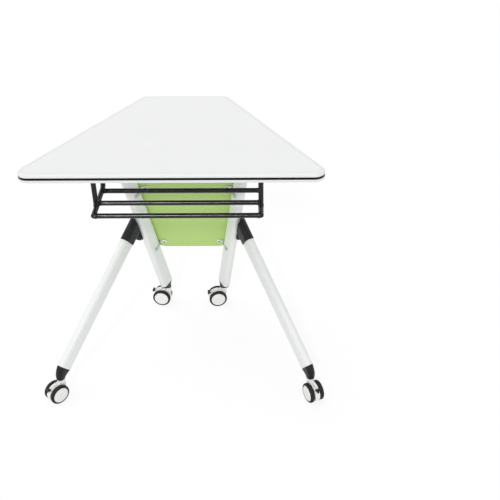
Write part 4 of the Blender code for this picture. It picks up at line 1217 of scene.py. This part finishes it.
def makeBeam(values):
    half = tube["headSpan"] - tube["narrow"] / 4
    beam = cylinder(flipAxis, sideways, values["beamRadius"], half, values["steps"])
    rim, reach, rounding, ring = (values[key] for key in ("capRadius", "capReach", "capRounding", "capRing"))
    profile = [(0, 0), (rim, 0)]
    for step in range(values["capSteps"] + 1):
        angle = pi / 2 * step / values["capSteps"]
        profile.append((rim - rounding * (1 - cos(angle)), reach - rounding * (1 - sin(angle))))
    depths = (0, ring, ring, 0)
    profile += [(rim * share, reach - depth) for share, depth in zip(values["ringShares"], depths)]
    profile.append((0, reach))
    for sideName, side in sides:
        lines = legLines(sideName, side)
        beam = combined(beam, legSolid(lines, values["seam"]), "DIFFERENCE")
        cap = spunAlong(profile, lines["head"], sideways * side, values["steps"])
        cap = combined(cap, legSolid(lines, values["seam"]), "DIFFERENCE")
        addPiece(cap, "flipCap." + sideName, "base", "black_plastic", ["pivot_cap_" + sideName])
    addPiece(beam, "flipBeam", "base", "white_paint", ["pivot_beam"])


def makeArm(values, sideName, side):
    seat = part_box("edge_band")[0].z - values["seam"]
    thick, deep = values["flangeThickness"], values["webDepth"]
    middle = flipAxis + Vector((side * values["armOffset"], 0, 0))
    front, rear = flipAxis.y - values["armFront"], flipAxis.y + values["armRear"]
    half = values["flangeWidth"] / 2
    outline = ((-half, front), (half, front), (half, rear), (-half, rear))
    points = [Vector((middle.x + x, y, seat - thick)) for x, y in outline]
    bm = prism(points, values["flangeCorner"], steps=8, height=thick)

    webBase = seat - deep
    bore = values["beamRadius"] + values["runningGap"]
    lugRadius = bore + values["lugWall"]
    cheek = lugRadius - values["lugWall"] / 4
    web = [(front + thick, seat - thick / 2), (front + thick, seat - 2 * thick), (front + 2 * deep, webBase),
           (rear - 2 * deep, webBase), (rear - thick, seat - 2 * thick), (rear - thick, seat - thick / 2)]
    neck = [(flipAxis.y - cheek, webBase + thick), (flipAxis.y - cheek, flipAxis.z),
            (flipAxis.y + cheek, flipAxis.z), (flipAxis.y + cheek, webBase + thick)]
    widths = (values["webThickness"], (values["webThickness"] + values["lugThickness"]) / 2)
    for line, width in zip((web, neck), widths):
        slab = bmesh.new()
        face = slab.faces.new([slab.verts.new((middle.x - width / 2, y, z)) for y, z in line])
        extruded(slab, [face], (width, 0, 0))
        bm = combined(bm, slab, "UNION")
    reach = values["lugThickness"] / 2
    for radius, length, operation in ((lugRadius, reach, "UNION"), (bore, 2 * reach, "DIFFERENCE")):
        bm = combined(bm, cylinder(middle, sideways, radius, length, values["steps"]), operation)
    bm = softened(bm, values["armVoxel"], values["armPasses"])
    addPiece(bm, "supportArm." + sideName, "top", "white_paint", ["support_arm_" + sideName], sharp=60)

    margin = values["armScrewMargin"]
    places = [(x, y) for y in (front + margin, rear - margin) for x in (-1, 1)]
    for number, (x, y) in enumerate(places):
        centre = Vector((middle.x + x * values["armScrewOffset"], y, seat - thick))
        screwHead(f"armScrew.{sideName}.{number}", "top", centre, downwards, values["armScrewRadius"],
                  values["armScrewRise"])


def makeLatch(values):
    rim, half = values["plateRadius"], values["plateThickness"] / 2
    bore = values["beamRadius"] + values["seam"]
    profile = [(bore, -half), (rim, -half), (rim, half), (bore, half), (bore, -half)]
    plate = spunAlong(profile, flipAxis, sideways, values["steps"])
    below, above = values["notchBelow"], values["notchAbove"]
    notch = block((4 * half, 2 * values["notchDepth"], below + above))
    moved(notch, flipAxis + Vector((0, -rim, (above - below) / 2)))
    plate = softened(combined(plate, notch, "DIFFERENCE"), values["latchVoxel"], values["latchPasses"])
    addPiece(plate, "lockPlate", "base", "zinc_steel", ["lock_plate"], sharp=60)
    castings = (("latch_bracket", "latchBracket", "top"), ("latch_lever", "latchLever", "latch"))
    for node, name, body in castings:
        bm = softened(nodeSolid(node), values["latchVoxel"], values["latchPasses"])
        addPiece(bm, name, body, slotOf[node], [node], sharp=60)
    low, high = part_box("latch_pin")
    bm = pin((low + high) / 2, sideways, (high.z - low.z) / 2, (high.x - low.x) / 2)
    addPiece(bm, "latchPin", "top", "bright_steel", ["latch_pin"])
    low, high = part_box("latch_bracket")
    inset = values["bracketScrewInset"]
    for number, x in enumerate((low.x + inset, high.x - inset)):
        centre = Vector((x, (low.y + high.y) / 2, high.z - values["bracketThickness"]))
        screwHead("latchScrew." + str(number), "top", centre, downwards, values["bracketScrewRadius"],
                  values["bracketScrewRise"])


makeBeam(flipGear)
for sideName, side in sides:
    makeArm(flipGear, sideName, side)
makeLatch(flipGear)
print("flip gear made")
